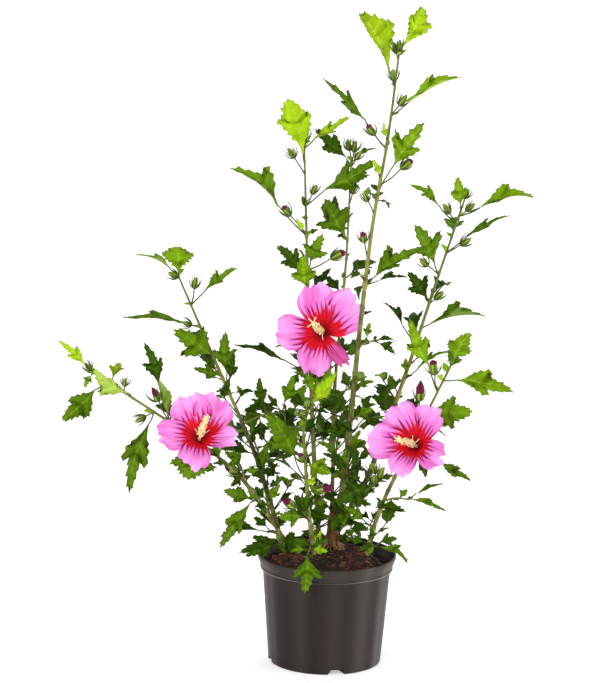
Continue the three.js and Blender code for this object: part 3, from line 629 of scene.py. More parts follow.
def bladeInto(pile, base, tip, facing, width, shape, draw, own):
    # a toothed blade, folded along its midrib and waved at its edge; own is its row in the shoot's plan
    along = tip - base
    length = np.linalg.norm(along)
    along /= length
    upper = unit(facing - along * facing.dot(along))
    if own and len(own) > 5:
        upper = upper * own[5]
    across = np.cross(along, upper)
    small = length < leafForm["small"]
    teeth = leafForm["smallTeeth" if small else "teeth"]
    columns = leafForm["smallColumns" if small else "columns"]
    form = own or [1, 1, draw.uniform(0.5, 1.25), draw.uniform(0.1, 0.7)]
    leftWide, rightWide, depth, folding = form[:4]
    tone = form[4] if len(form) > 4 else draw.random()
    slack = 0.08 if own else 0.25
    left, right = (edgeOf(shape, max(0, depth + draw.uniform(-slack, slack)), teeth, draw) for _ in range(2))
    share = np.linspace(-1, 1, 2 * columns + 1)
    reach = np.abs(share)
    edgeX = np.where(share < 0, left[0][:, None], right[0][:, None])
    edgeY = np.where(share < 0, left[1][:, None], right[1][:, None])
    middleX = (left[0] + right[0] - leafForm["slant"] * (left[1] + right[1])) / 2
    middleX = np.maximum.accumulate(np.clip(middleX, 0, 1))[:, None]
    x = middleX + (edgeX - middleX) * reach
    y = edgeY * share * width * np.where(share < 0, leftWide, rightWide)
    tips = (np.arange(len(x)) % 2)[:, None]
    arch = leafForm["arch"] * draw.uniform(0.5, 1.4) * x * (1 - x)
    fold = folding * np.abs(y)
    droop = draw.uniform(*leafForm["droop"]) * np.clip(x - 0.5, 0, 1) ** 2
    leftCurl, rightCurl = draw.uniform(*leafForm["curl"]), draw.uniform(*leafForm["curl"])
    curl = np.where(share < 0, leftCurl, rightCurl) * np.abs(y) * reach ** 2
    phase = draw.uniform(0, fullTurn)
    half = np.sign(share)
    wave = 0.03 * np.sin(9 * x + 3 * half + phase) + 0.014 * np.sin(23 * x + 2 * half - phase)
    quilt = 0.009 * np.where(tips, -1, 1) * np.sin(math.pi * reach)
    twist = draw.uniform(-0.5, 0.5) * x * y
    z = arch + fold - droop - curl + twist + wave * reach ** 2 + quilt - 0.008 * (reach == 0)
    sway = draw.uniform(-0.08, 0.08) * np.sin(math.pi * x)
    grid = base + length * (x[..., None] * along + (y + sway)[..., None] * across + z[..., None] * upper)
    rib = np.maximum((reach == 0) * 1.0, tips * 0.88 * (reach < 1))
    lift = max(leafForm["thickness"], 0.011 * length) / 2 * upper
    # edge feeds the painted shade at the blade's rim in leafFinish
    sheetInto(pile, grid, lift, rib=rib, leafShade=tone, edge=reach ** 6)


def facingOf(degrees):
    # the way that a blade faces: 0 is up, 90 is towards the front
    angle = math.radians(degrees)
    return np.array([0, -math.sin(angle), math.cos(angle)])


leaves = {tone: Pile() for tone in leafTints}
twigs = Pile()
buds = Pile()
budTips = Pile()


def stalkInto(joint, base, radius, age, draw):
    # a petiole that bows a little
    length = np.linalg.norm(base - joint)
    bow = np.array([draw.uniform(-1, 1), draw.uniform(-1, 1), -0.6]) * 0.06 * length
    shares = np.linspace(0, 1, 5)
    points = [joint + (base - joint) * s + bow * math.sin(math.pi * s) for s in shares]
    tubeInto(twigs, points, radius * np.array([1.5, 1.1, 1, 0.95, 0.9]), 6, age=age, stalk=1)


clearTurns = [0, 0.15, -0.15, 0.3, -0.3, 0.5, -0.5]  # in radians, so that a leaf stands clear of others
sameTip = 0.6  # how near a tip lies to its own one in the solids


def tipsOf(node):
    # the corners of one solid
    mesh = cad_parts[node].data
    points = np.zeros(3 * len(mesh.vertices), np.float32)
    mesh.vertices.foreach_get("co", points)
    return points.reshape(-1, 3) * metre


def grownReach(joint, reach, cadPoints):
    # the turn that this growth was given in the solids, or nothing where it was left out
    for turn in clearTurns:
        turned = turnedBy(reach, turn)
        if np.min(np.linalg.norm(cadPoints - (joint + turned), axis=1)) < sameTip:
            return turned
    return None


def leafInto(tone, joint, reach, facing, width, petiole, shape, draw, age=0.0, own=None):
    # a leaf on its petiole; reach runs from its joint to the tip of its blade
    base = joint + petiole * reach
    base[2] += 0.04 * np.linalg.norm(reach)
    stalkInto(joint, base, 0.95, age, draw)
    bladeInto(leaves[tone], base, joint + reach, facing, width, shape, draw, own)


youngForm = {"lean": [0.1, 1.1], "size": [0.6, 1.25], "width": [0.45, 0.7], "petiole": 0.1}


def youngLeaves(joint, heading, count, size, tones, draw):
    # small leaves in the axil of a larger one
    side = unit(np.cross(heading, [0.3, 1, 0.2]))
    other = np.cross(heading, side)
    for _ in range(count):
        out = spoke(side, other, draw.uniform(0, fullTurn))
        way = unit(out + heading * draw.uniform(*youngForm["lean"]) + [0, 0, 0.25])
        reach = way * size * draw.uniform(*youngForm["size"])
        facing = unit(np.array([draw.uniform(-0.6, 0.6), draw.uniform(-1, 0.1), 0.8]))
        tone = draw.choice(tones)
        width = draw.uniform(*youngForm["width"])
        leafInto(tone, joint, reach, facing, width, youngForm["petiole"], "young", draw)


# a bud: its ribbed calyx, the furled petals of a ripe one, and a ring of slim bracts
budForm = {
    "sides": 20, "ribs": 5, "ribDepth": 0.13, "bracts": 7,
    "opening": 0.6,  # a bud whose petals show more than this is opening
    "stretch": [1.2, 1.05], "slim": [0.25, 0.2],  # of a closed bud and of an opening one
    "green": [0.4, 0.8, 1, 0.97, 0.8, 0.42, 0.08],  # how wide the calyx is from its foot to its rim
    "ripe": [0.4, 0.85, 1.02, 1.06, 1.04, 1, 0.98],
    "furlRings": 9, "pleat": 0.16, "twist": 0.5,
}


def budInto(joint, reach, length, ripe, draw):
    # ripe is the share of the bud that its furled petals show
    sides, ribCount = budForm["sides"], budForm["ribs"]
    opening = ripe > budForm["opening"]
    way = unit(reach)
    length = length * budForm["stretch"][opening]
    slim = budForm["slim"][opening]
    foot = joint + reach - length * way
    side = unit(np.cross(way, [0.2, 1, 0.4]))
    other = np.cross(way, side)
    stalkInto(joint, foot, 0.95, 0.2, draw)
    calyxShares = np.linspace(0, 1 - ripe * 0.85, 8)
    climb = calyxShares / calyxShares[-1]
    closed = budForm["ripe" if ripe else "green"]
    girth = slim * length * np.interp(climb, [0, 0.1, 0.3, 0.5, 0.7, 0.9, 1], closed)
    crest = np.cos(ribCount * around(sides))
    ribs = [1 + budForm["ribDepth"] * crest] * len(climb)
    ribRise = np.clip(0.5 + 0.6 * crest, 0, 1)
    rise = np.concatenate([ribRise * (0.7 + 0.3 * s) for s in climb] + [[0.4, 0.3]])
    tubeInto(buds, [foot + way * length * s for s in calyxShares], girth, sides, relief=ribs, rise=rise)
    if ripe:
        rings = budForm["furlRings"]
        furl = np.interp(np.linspace(0, 1, rings), [0, 0.3, 0.6, 0.85, 1], [0.9, 0.98, 0.8, 0.42, 0.05])
        spiral = [np.cos(ribCount * around(sides) + budForm["twist"] * ring) for ring in range(rings)]
        pleats = [0.9 + budForm["pleat"] * turn for turn in spiral]
        rise = np.clip(draw.uniform(0.1, 0.5) + 0.5 * np.concatenate(spiral + [[0, 0]]), 0, 1)
        points = [foot + way * length * s for s in np.linspace(1 - ripe, 1, rings)]
        tubeInto(budTips, points, furl * slim * length, sides, relief=pleats, rise=rise)
    bracts = budForm["bracts"]
    for index in range(bracts):
        out = spoke(side, other, 2 * math.pi * (index + draw.uniform(-0.2, 0.2)) / bracts)
        spread = draw.uniform(0.3, 0.55) * min(length, 22)
        height = draw.uniform(0.8, 1.2) * min(length, 18)
        steps = np.linspace(0, 1, 6)
        chain = [foot + out * (1 + spread * math.sin(1.7 * s)) + way * height * s ** 1.5 for s in steps]
        tubeInto(buds, chain, [0.85, 0.85, 0.8, 0.7, 0.5, 0.12], 5, rise=0)


def twigCurve(cane, at, twig):
    # a side twig, which leaves its cane at a height and bows up a little
    curve = caneCurves[cane]
    root = curve.along(curve.shareAt(at))
    tip = root + np.array(twig, float)
    middle = (root + tip) / 2
    middle[2] += 0.08 * np.linalg.norm(tip - root)
    return Spline([root, middle, tip])


def limbPoints(curve, start, end, step):
    # shares and points along a part of a curve, about one step apart
    count = max(3, int(math.ceil((end - start) * curve.length / step)) + 1)
    shares = np.linspace(start, end, count)
    return shares, np.array([curve.along(share) for share in shares])


jointSwell = {"height": 0.28, "reach": 2.6}


def nodeRings(shares, joints, length):
    # the little swelling of a stem at each joint
    swell = np.zeros(len(shares))
    for joint in joints:
        swell += jointSwell["height"] * np.exp(-(((shares - joint) * length / jointSwell["reach"]) ** 2))
    return 1 + swell


def caneRadius(cane):
    # a cane tapers from foot to tip and flares where it leaves the soil
    plan = canes[cane]
    fromSoil = plan["path"][0][2] < soilTop

    def radiusAt(share):
        flare = max(0, 1 - share * 12) * 1.2 if fromSoil else 0
        return plan["foot"] + (plan["tip"] - plan["foot"]) * share + flare

    return radiusAt


# facing, width, petiole and shape of a leaf that doesn't give its own
leafDefaults = [40, 0.6, 0.22, "lobed"]
toneNames = {"l": "lime", "f": "fresh", "m": "mid", "d": "dark"}
# The joint is a height on a cane's own shoot, and a share of the twig on a side shoot.
# leaves: [joint, right, back, up, facing, width, petiole, shape]; tones: one letter for each leaf
# own: leaves with a shape of their own, by their place in the list:
# [left width, right width, depth of the lobes, fold, shade, -1 when turned over]; shade is how dark the blade
# is painted: its own tone, with painted shade and light for how it is lit
# buds: [joint, right, back, up, length]; ripe: how far along a bud its furled petals reach
shoots = {
    "shoot_tall": {
        "cane": "tall", "tones": "llflmlfmddmdd",
        "leaves": [
            [847, 30, 5, 68, 85, 0.62, 0.14, "fan"], [805, -52, -10, 101, 80, 0.55, 0.18, "fan"],
            [766, 90, -15, 60, 15, 0.35, 0.24], [729, -6, -12, 30, 70, 0.45],
            [721, -87, -10, 98, 40, 0.42, 0.34], [678, -12, -15, 30, 70, 0.5],
            [662, 60, -20, 100, 75, 0.62, 0.33], [655, -12, 48, 2, 120, 0.7], [650, 20, 42, -16, 30, 0.35],
            [545, -24, 25, -4, 30], [531, 74, -10, 55, 40, 0.4, 0.15], [538, -8, 24, -32, 40, 0.5],
            [533, 58, 20, 7, 25, 0.4, 0.3],
        ],
        "own": {
            0: [0.7, 1.15, 1, 0.2, 0.75], 1: [0.3, 1.25, 0.5, 0.4, 0.3], 2: [0.75, 0.55, 0.6, 0.9, 0.9],
            4: [1, 0.8, 1.2, 0.5, 0.1], 6: [1.1, 0.8, 1.35, 0.4, 0.2], 10: [1.1, 1.1, 1.2, 0.5],
        },
        "buds": [
            [850, 1, -2, 20, 13], [842, -7, 0, 24, 13], [807, -4, -8, 24, 15], [766, 21, 0, 29, 15],
            [721, -27, -6, 33, 15], [671, 44, 4, 35, 17], [629, -15, -8, 34, 13], [568, -9, -6, 40, 14],
        ],
        "ripe": {4: 0.3, 5: 0.25, 7: 0.5},
    },
    "shoot_back_left": {
        "cane": "back_left", "bloom": "bloom_centre", "bloomAt": 472, "tones": "llmmldmdfd",
        "leaves": [
            [704, 64, 0, 44, 35, 0.35, 0.2], [683, -26, -10, 92, 80, 0.6, 0.1, "fan"],
            [624, 95, -15, 70, 60, 0.75, 0.28], [583, -106, -10, 95, 30, 0.32, 0.37],
            [583, -15, -10, 27, 60, 0.35], [583, 16, -6, 10, 60], [535, 20, -15, 54, 80, 0.8, 0.22],
            [517, -45, 20, 49, 60, 0.6], [485, -10, -30, 78, 75, 0.75, 0.36], [500, 30, 45, 30, 30],
        ],
        "own": {
            0: [1.2, 1.2, 1.2, 0.5], 1: [1.15, 0.9, 0.9, 0.5], 2: [0.75, 0.75, 1.4, 0.4],
            3: [1.2, 1.2, 1, 0.6], 6: [1, 1.2, 1.3, 0.3], 7: [1, 1, 1.1, 0.3], 8: [1, 1, 0.5, 0.2],
        },
        "buds": [
            [706, 3, 0, 24, 14], [668, -24, -6, 37, 14], [624, 15, -4, 31, 13], [583, -34, -6, 42, 15],
            [535, 52, 4, 27, 19],
        ],
        "ripe": {3: 0.3, 4: 0.35},
    },
    "shoot_back": {
        "cane": "back", "tones": "mdmddmdd",
        "leaves": [
            [680, 35, 0, 22, 40, 0.4], [676, -51, 10, 50, 55, 0.5, 0.15], [640, 24, 52, 20, 30],
            [600, -40, 50, 10, 30], [575, -15, 18, 0, 40], [571, -33, 10, 58, 80, 0.95, 0.12],
            [520, 45, 50, 15, 20], [495, -24, 20, 25, 50, 0.8],
        ],
        "own": {0: [1.1, 1.1, 0.9, 0.4], 1: [0.9, 0.9, 0.9, 0.4], 5: [1, 1, 0.9, 0.2], 7: [1, 1, 0.8, 0.2]},
        "buds": [[683, -6, 0, 30, 14], [680, 6, 2, 31, 14], [674, 14, -6, 24, 13], [623, 8, 0, 28, 12]],
    },
    "shoot_left": {
        "cane": "left", "tones": "ffmmdmdmdmddd",
        "leaves": [
            [525, -58, -10, 31, 20, 0.3, 0.15], [523, -4, 25, 38, 80, 1.2, 0.1, "fan"],
            [485, 62, -10, 58, 30, 0.38, 0.33], [455, -107, -10, 15, 25, 0.3, 0.22], [440, -26, 55, -7, 30],
            [413, -57, -20, 45, 75, 0.78, 0.08], [400, -30, 55, 10, 20], [388, -41, -12, 15, 60, 0.6, 0.1],
            [388, -33, 8, 28, 60, 0.5], [372, -4, 14, 79, 75, 0.6, 0.25], [370, 8, 0, 53, 60, 0.45, 0.25],
            [368, -18, -12, 3, 10], [366, 26, -14, 5, 10, 0.4],
        ],
        "own": {
            0: [1.3, 1.3, 0.8, 0.7], 1: [1, 1, 0.4, 0.3], 2: [1.1, 1.1, 1.3, 0.8],
            3: [1.3, 1.1, 0.8, 0.5, 0.3], 5: [1, 1, 1.35, 0.25, 0.35], 7: [1, 1, 1, 0.3],
            9: [1, 1, 1.15, 0.4], 10: [1.1, 1.1, 1, 0.4],
        },
        "buds": [[520, -16, -4, 10, 13], [485, 7, 0, 40, 14], [455, -26, -6, 8, 12]],
    },
    "shoot_far_left": {
        "cane": "far_left", "bloom": "bloom_left", "bloomAt": 328, "tones": "lfmlldmdfm",
        "leaves": [
            [427, -42, -10, 44, 60, 0.45, 0.12], [424, -10, -22, -16, 60, 0.6],
            [411, -61, -10, -52, 65, 0.66, 0.27], [408, 10, 45, 20, 30], [388, -50, -25, 46, 70, 0.62, 0.1],
            [352, -37, 12, 108, 70, 0.48, 0.42], [368, -31, -18, -111, 80, 0.46, 0.18],
            [350, -10, 60, 15, 20], [352, -16, -8, 61, 60, 0.4, 0.1], [324, -9, -20, -51, 80, 1.1, 0.3],
        ],
        "own": {
            0: [0.75, 0.75, 1.2, 0.5, 0.7], 2: [1.1, 0.9, 0.6, 0.3, 0.1],
            4: [0.35, 1.05, 0.5, 0.3, 0.6, -1], 5: [1.1, 0.8, 1.3, 0.3, 0.5], 6: [0.85, 0.85, 1.1, 0.3, 0],
            8: [1, 0.6, 0.2, 0.3, 0.4, -1], 9: [1.5, 1.5, 0.3, 0.2, 0.2],
        },
        "buds": [
            [425, -10, 4, 12, 12], [396, 2, -8, 22, 11], [352, -24, -12, 51, 22], [368, -25, -8, -13, 14],
        ],
        "ripe": {2: 0.7},
    },
    "shoot_front": {
        "cane": "front", "tones": "lmffmdlmd",
        "leaves": [
            [373, 38, -10, 57, 60, 0.42, 0.12], [370, 30, 18, 60, 50, 0.4], [370, -10, -26, -14, 60],
            [290, 33, -20, -6, 75, 1, 0.12], [268, -56, -30, 100, 80, 0.65, 0.3],
            [268, -52, 0, 31, 10, 0.3, 0.3], [252, 10, -16, 31, 70, 0.5], [211, -42, -12, 2, 80, 1, 0.25],
            [330, 14, 40, 20, 40],
        ],
        "own": {
            0: [1, 0.9, 0.1, 0.4, 0.6], 3: [1, 1, 0.8, 0.2], 4: [0.95, 0.8, 0.3, 0.3, 0],
            5: [1.3, 1.3, 1.1, 0.6],
        },
        "buds": [
            [374, -3, -12, 16, 12], [366, -17, -14, 6, 11], [371, -10, -18, 2, 11], [297, -6, -6, 37, 15],
            [290, -9, -6, 19, 13], [250, 35, -18, 12, 21], [213, -37, -18, 28, 19],
        ],
        "ripe": {3: 0.6, 4: 0.4, 5: 0.6, 6: 0.5},
    },
    "shoot_right": {
        "cane": "right", "tones": "ffmmmmddmddlmmdd",
        "leaves": [
            [618, -7, -10, 48, 80, 0.5, 0.12], [610, 105, -10, 31, 40, 0.38, 0.28],
            [600, -66, 0, 55, 35, 0.3, 0.38], [580, 10, 60, 20, 30], [559, 85, 0, 58, 30, 0.4, 0.33],
            [529, -36, -12, 72, 75, 0.75, 0.2], [500, 25, 60, 5, 20], [490, -31, 12, 42, 70, 0.8, 0.1],
            [455, 89, 0, 20, 15, 0.28, 0.15], [440, -5, 60, 25, 30], [432, -47, 12, 57, 30, 0.32, 0.4],
            [432, 0, -12, 20, 70], [389, 0, -12, 28, 75, 0.7], [383, 64, 0, 42, 25, 0.35, 0.3],
            [362, -14, -18, 33, 80, 1, 0.25], [356, -30, -6, 14, 40],
        ],
        "own": {
            0: [1.3, 1.2, 0.5, 0.3], 1: [1.2, 0.8, 0.7, 0.4], 2: [1.2, 1.2, 1.3, 0.5],
            4: [1.3, 1.2, 1.4, 0.5], 5: [0.8, 1.2, 1.4, 0.3], 7: [0.9, 1, 1.2, 0.2], 8: [1.6, 1.6, 1, 0.7],
            10: [1.4, 1.4, 1.1, 0.6], 13: [1.3, 1.3, 1.2, 0.5], 14: [1.1, 1.1, 1.3, 0.3],
        },
        "buds": [
            [632, 5, 4, 16, 12], [610, 22, -4, 19, 14], [600, -19, -4, 28, 14], [559, 34, -6, 22, 15],
            [529, -28, -8, 24, 14], [488, 20, -6, 20, 15],
        ],
    },
    "shoot_low_right": {
        "cane": "low_right", "bloom": "bloom_right", "bloomAt": 352, "tones": "fmffmdm",
        "leaves": [
            [444, 22, -15, 46, 80, 0.8, 0.1], [430, 15, 45, 15, 30], [419, 95, -10, -10, 50, 0.4, 0.2],
            [402, -40, -15, 103, 70, 0.42, 0.33], [374, 61, -4, 2, 75, 0.85, 0.1], [360, 10, 50, 0, 30],
            [348, 38, 0, -8, 20],
        ],
        "own": {0: [1, 1, 0.3, 0.2], 2: [1.2, 1.3, 0.8, 0.3], 3: [1.1, 1.1, 0.8, 0.3], 4: [1, 1, 0.7, 0.2]},
        "buds": [[402, -8, -8, 46, 18], [348, 0, -8, 69, 28]],
        "ripe": {0: 0.3, 1: 0.72},
    },
    # side shoots: a twig leaves the cane at a height and runs by the given way
    "side_tall_mid": {
        "cane": "tall", "at": 446, "twig": [22, 12, 6], "tones": "mdmddd",
        "leaves": [
            [0.5, 5, -6, 30, 50], [1, 24, 0, 4, 30], [1, 32, 10, -2, 20], [1, 30, -10, -16, 30],
            [0.4, -30, -14, -4, 70, 0.8], [0.3, -24, 14, -22, 70, 0.8],
        ],
    },
    "side_tall_low": {
        "cane": "tall", "at": 386, "twig": [-12, 12, -6], "tones": "dmddd",
        "leaves": [
            [0.5, -8, -6, 26, 75, 0.9], [0.5, 34, -10, 12, 30], [1, -30, 5, -12, 20, 0.4],
            [1, -12, -14, -24, 70, 0.8], [1, 10, 40, 5, 20],
        ],
    },
    "side_tall_foot": {
        "cane": "tall", "at": 338, "twig": [14, -8, 12], "tones": "mddd",
        "leaves": [
            [0.5, 24, -8, 16, 60, 0.8], [1, 14, 6, 28, 60, 0.7], [0.4, -20, -18, -20, 70, 0.9],
            [1, 24, -14, -16, 50, 0.7],
        ],
    },
    "side_tall_base": {
        "cane": "tall", "at": 266, "twig": [2, -14, 8], "tones": "mdmdd",
        "leaves": [
            [1, -2, -8, 30, 85, 0.6], [1, -34, -6, 22, 60, 0.55], [0.6, -18, -6, -12, 75, 0.9],
            [1, 24, 0, 16, 60, 0.6], [1, 16, -8, -14, 65, 0.9],
        ],
    },
    "side_back_left": {
        "cane": "back_left", "at": 393, "twig": [-14, 4, 4], "tones": "dmdd",
        "leaves": [
            [1, -93, 5, 33, 25, 0.34, 0.25], [0.6, 14, -14, -28, 75, 0.8], [1, -12, -8, -26, 60],
            [1, -6, 40, 16, 20],
        ],
    },
    "side_back": {
        "cane": "back", "at": 335, "twig": [4, -14, -4], "tones": "dmdd",
        "leaves": [
            [1, -10, -8, -34, 75, 0.7], [0.7, 8, -6, 34, 60, 0.6], [1, 16, -6, -40, 70, 0.5],
            [0.6, -34, -4, 10, 20, 0.4],
        ],
    },
    "side_left_inner": {
        "cane": "left", "at": 325, "twig": [53, 16, 14], "tones": "dmdddd",
        "leaves": [
            [1, -20, 0, 26, 60], [1, 16, 0, 54, 65, 0.6], [0.7, -28, -5, 22, 50, 0.5],
            [0.6, -10, 4, 52, 90, 0.5], [0.45, 4, -16, -32, 75, 0.85], [1, 22, 12, 2, 30],
        ],
    },
    "side_left_low": {
        "cane": "left", "at": 262, "twig": [3, -14, -2], "tones": "dmd",
        "leaves": [[1, -9, -4, 28, 80, 0.5], [0.7, -28, -8, 4, 60, 0.45], [1, 26, -6, 4, 40, 0.45]],
    },
    "side_far_left": {
        "cane": "far_left", "at": 258, "twig": [-4, -10, 20], "tones": "mmmd",
        "leaves": [
            [1, -24, -4, 26, 70, 0.8, 0.1], [0.6, 22, 6, 6, 60, 0.7], [1, -12, -6, 32, 100, 0.5],
            [0.5, -22, -12, -12, 80, 0.8],
        ],
        "buds": [[0.4, -26, -8, 14, 20]],
        "ripe": {0: 0.5},
    },
    "side_far_left_out": {
        "cane": "far_left", "at": 229, "twig": [-8, -8, 2], "tones": "mmd",
        "leaves": [
            [1, -42, -6, 16, 70, 0.65, 0.1], [1, -45, -20, -64, 60, 0.55, 0.1],
            [0.6, 14, -26, -14, 70, 0.7],
        ],
        "own": {0: [0.95, 0.95, 0.4, 0.3, 0.15], 1: [0.65, 0.75, 0.75, 0.3, 0.05]},
    },
    "side_far_left_low": {
        "cane": "far_left", "at": 205, "twig": [-12, 10, 50], "tones": "mdmdd",
        "leaves": [
            [1, 9, 4, 56, 30, 0.35], [0.9, -18, 6, 22, 50, 0.7], [0.3, 16, -8, 34, 80, 0.7],
            [0.4, -18, 8, 20, 75, 0.8], [0.7, 22, 18, 12, 50],
        ],
    },
    "side_low_right": {
        "cane": "low_right", "at": 318, "twig": [10, -12, -4], "tones": "mmdm",
        "leaves": [
            [1, 76, -12, -34, 50, 0.38, 0.4], [0.6, 12, 34, -4, 30], [1, 14, -6, -32, 60],
            [0.5, -38, -6, 12, 65, 0.5],
        ],
    },
    "side_low_right_mid": {
        "cane": "low_right", "at": 238, "twig": [32, -12, 6], "tones": "mmmdd",
        "leaves": [
            [1, 53, 0, -16, 30, 0.3, 0.1], [1, 47, -4, 26, 30, 0.3, 0.25], [0.35, 18, 6, 38, 90, 1.15, 0.1],
            [0.35, -6, -18, -30, 70, 1.3, 0.1], [0.7, 6, 26, 4, 30],
        ],
    },
    "side_low_right_foot": {
        "cane": "low_right", "at": 196, "twig": [-8, 8, 2], "tones": "mdd",
        "leaves": [
            [1, -34, -4, 26, 60, 0.65, 0.15], [1, -42, 6, -4, 20, 0.35, 0.15], [0.6, 10, 30, 12, 40],
        ],
    },
    "side_centre": {
        "cane": "stump", "at": 178, "twig": [60, -58, 86], "tones": "ddmdmd",
        "leaves": [
            [1, -56, -16, -26, 85, 1, 0.28], [0.7, 28, 12, 22, 60, 0.7], [0.4, -14, -22, -10, 80, 0.8],
            [0.5, 26, 10, -6, 60, 0.6], [1, 22, 8, 8, 50, 0.6], [0.25, 20, -6, -12, 60, 0.6],
        ],
        "buds": [[1, -10, -6, 28, 14], [1, 6, -8, 23, 15], [0.94, -2, -14, 16, 14]],
    },
    "side_centre_low": {
        "cane": "stump", "at": 168, "twig": [16, -12, 6], "tones": "ddmd",
        "leaves": [
            [1, 34, -8, -4, 20, 0.35], [0.8, 4, -26, -6, 70], [1, 14, -18, 14, 80, 0.8],
            [0.7, -6, -14, 20, 80],
        ],
    },
    "side_front_low": {
        "cane": "front", "at": 190, "twig": [2, 14, 3], "tones": "ddmd",
        "leaves": [
            [1, 16, 2, 38, 85, 1.1, 0.1], [1, -26, -2, 46, 80, 0.75, 0.12],
            [0.8, 16, -2, -22, 80, 0.7, 0.15], [1, -16, 4, -16, 70, 0.7],
        ],
    },
    "foot_left": {
        "cane": "far_left", "at": 172, "twig": [-8, -26, -3], "tones": "dddd",
        "leaves": [
            [0.3, -57, -30, -12, 70, 0.55, 0.1], [1, -44, -26, -10, 75, 0.5, 0.1],
            [0.5, 36, -18, -4, 75, 0.8, 0.05], [0.8, 10, -22, -6, 75, 0.8],
        ],
    },
    "foot_left_back": {
        "cane": "left", "at": 172, "twig": [-12, 4, 4], "tones": "ddd",
        "leaves": [[1, -70, -12, -2, 15, 0.3, 0.2], [1, -24, 26, 14, 40], [0.6, 22, 20, 22, 40]],
    },
    "foot_front": {
        "cane": "front", "at": 164, "twig": [-8, -68, 10], "tones": "mddfml",
        "leaves": [
            [1, -3, -26, -48, 80, 0.95, 0.1], [0.4, 24, -10, 14, 60, 0.7, 0.1],
            [0.4, -24, -8, 12, 60, 0.7, 0.1], [0.75, 26, -6, 0, 60, 0.7], [0.75, -26, -4, -2, 60, 0.7],
            [0.15, 12, 8, 24, 80, 0.45, 0.1],
        ],
        "own": {0: [0.85, 0.85, 1.3, 0.3, 0]},
    },
    "foot_right": {
        "cane": "low_right", "at": 170, "twig": [6, -10, 0], "tones": "mdddd",
        "leaves": [
            [1, 48, -28, -14, 35, 0.42, 0.15], [0.7, -4, -6, 30, 90, 0.5, 0.1],
            [0.6, -34, 4, 8, 75, 0.55, 0.3], [0.6, -18, -8, -6, 70, 0.7], [1, 34, 20, 6, 30],
        ],
        "own": {0: [1.1, 1.1, 1.1, 0.4, 0.2]},
    },
}


def tonesFrom(keys):
    return [toneNames[key] for key in keys]


def growShoot(name, plan):
    # the leaves and buds of one cane's top or one side shoot, and the twig that carries them
    draw = random.Random(name)
    cadPoints = tipsOf(name)
    side = "twig" in plan
    curve = twigCurve(plan["cane"], plan["at"], plan["twig"]) if side else caneCurves[plan["cane"]]
    joints = []

    def rooted(row):
        share = row[0] if side else curve.shareAt(row[0])
        joint = curve.along(share)
        return share, joint, grownReach(joint, np.array(row[1:4], float), cadPoints)

    own = plan.get("own", {})
    for index, (row, tone) in enumerate(zip(plan["leaves"], tonesFrom(plan["tones"]))):
        facing, width, petiole, shape = row[4:] + leafDefaults[len(row) - 4:]
        share, joint, reach = rooted(row)
        if reach is None:
            continue
        joints.append(share)
        leafInto(tone, joint, reach, facingOf(facing), width, petiole, shape, draw, 0.25, own.get(index))
    ripe = plan.get("ripe", {})
    for index, row in enumerate(plan.get("buds", ())):
        share, joint, reach = rooted(row)
        if reach is not None:
            budInto(joint, reach, row[4], ripe.get(index, 0), draw)
    if "bloom" in plan:
        stalkToBloom(curve.along(curve.shareAt(plan["bloomAt"])), blooms[plan["bloom"]], draw)
    start = 0 if side else curve.shareAt(canes[plan["cane"]]["leafyFrom"]) - 0.01
    shares, points = limbPoints(curve, start, 1, 4)
    if side:
        radii = 1.6 - 0.7 * shares
        age = 0.6 - 0.5 * shares
    else:
        radiusAt = caneRadius(plan["cane"])
        radii = np.array([radiusAt(share) for share in shares])
        age = np.clip(1.15 - 1.5 * (shares - start) / (1 - start), 0, 1)
    radii = radii * nodeRings(shares, joints, curve.length)
    sides = 9
    age = np.concatenate([np.repeat(age, sides), age[[0, -1]]])
    tubeInto(twigs, points, radii, sides, age=age, stalk=0)
    for share in sorted(set(joints)):
        tones = tonesFrom("lf" if share > 0.72 and not side else "mddd")
        youngLeaves(curve.along(share), curve.heading(share), 1, 14, tones, draw)
    if not side:
        youngLeaves(curve.along(0.995), curve.heading(0.99), 3, 11, ["lime"], draw)


# finer growth: [cane, from height, to height, step between joints, leaves at each, size range]
fineGrowth = [
    ["stump", 162, 212, 15, 2, [22, 40]],
    ["tall", 226, 300, 24, 2, [24, 44]], ["tall", 335, 500, 36, 1, [22, 40]],
    ["back", 225, 480, 32, 1, [22, 40]], ["back", 500, 640, 40, 1, [16, 28]],
    ["back_left", 176, 450, 34, 1, [22, 42]], ["back_left", 480, 600, 45, 1, [16, 28]],
    ["left", 180, 340, 28, 2, [22, 42]], ["left", 350, 420, 34, 1, [16, 28]],
    ["far_left", 176, 300, 30, 1, [20, 36]],
    ["right", 200, 345, 28, 2, [22, 42]], ["right", 355, 420, 34, 1, [18, 32]],
    ["low_right", 180, 250, 26, 1, [20, 36]], ["low_right", 295, 335, 22, 1, [18, 32]],
    ["front", 176, 240, 26, 1, [18, 32]],
]
fineRule = {
    "tones": "dddddmm", "stretch": 1.35,
    "turn": 2.4,  # the angle between one leaf and the next round the cane
    "lift": [-0.25, 1.1], "width": [0.34, 0.62], "petiole": 0.3,
    "twiglets": 0.4,  # the share of the joints that also bear a twiglet
    "twigletLeaves": 3,
}
bloomRoom = {"reach": 62, "behind": 26}  # the space of a bloom, out from its middle and back


def clearOfBlooms(point, room):
    # nothing grows through a bloom, or in front of one
    for bloom in blooms.values():
        middle, axis, _, _ = bloomFrame(bloom)
        away = point - middle
        depth = away.dot(axis)
        beside = np.linalg.norm(away - depth * axis)
        if depth > -bloomRoom["behind"] and beside < bloomRoom["reach"] + room:
            return False
    return True


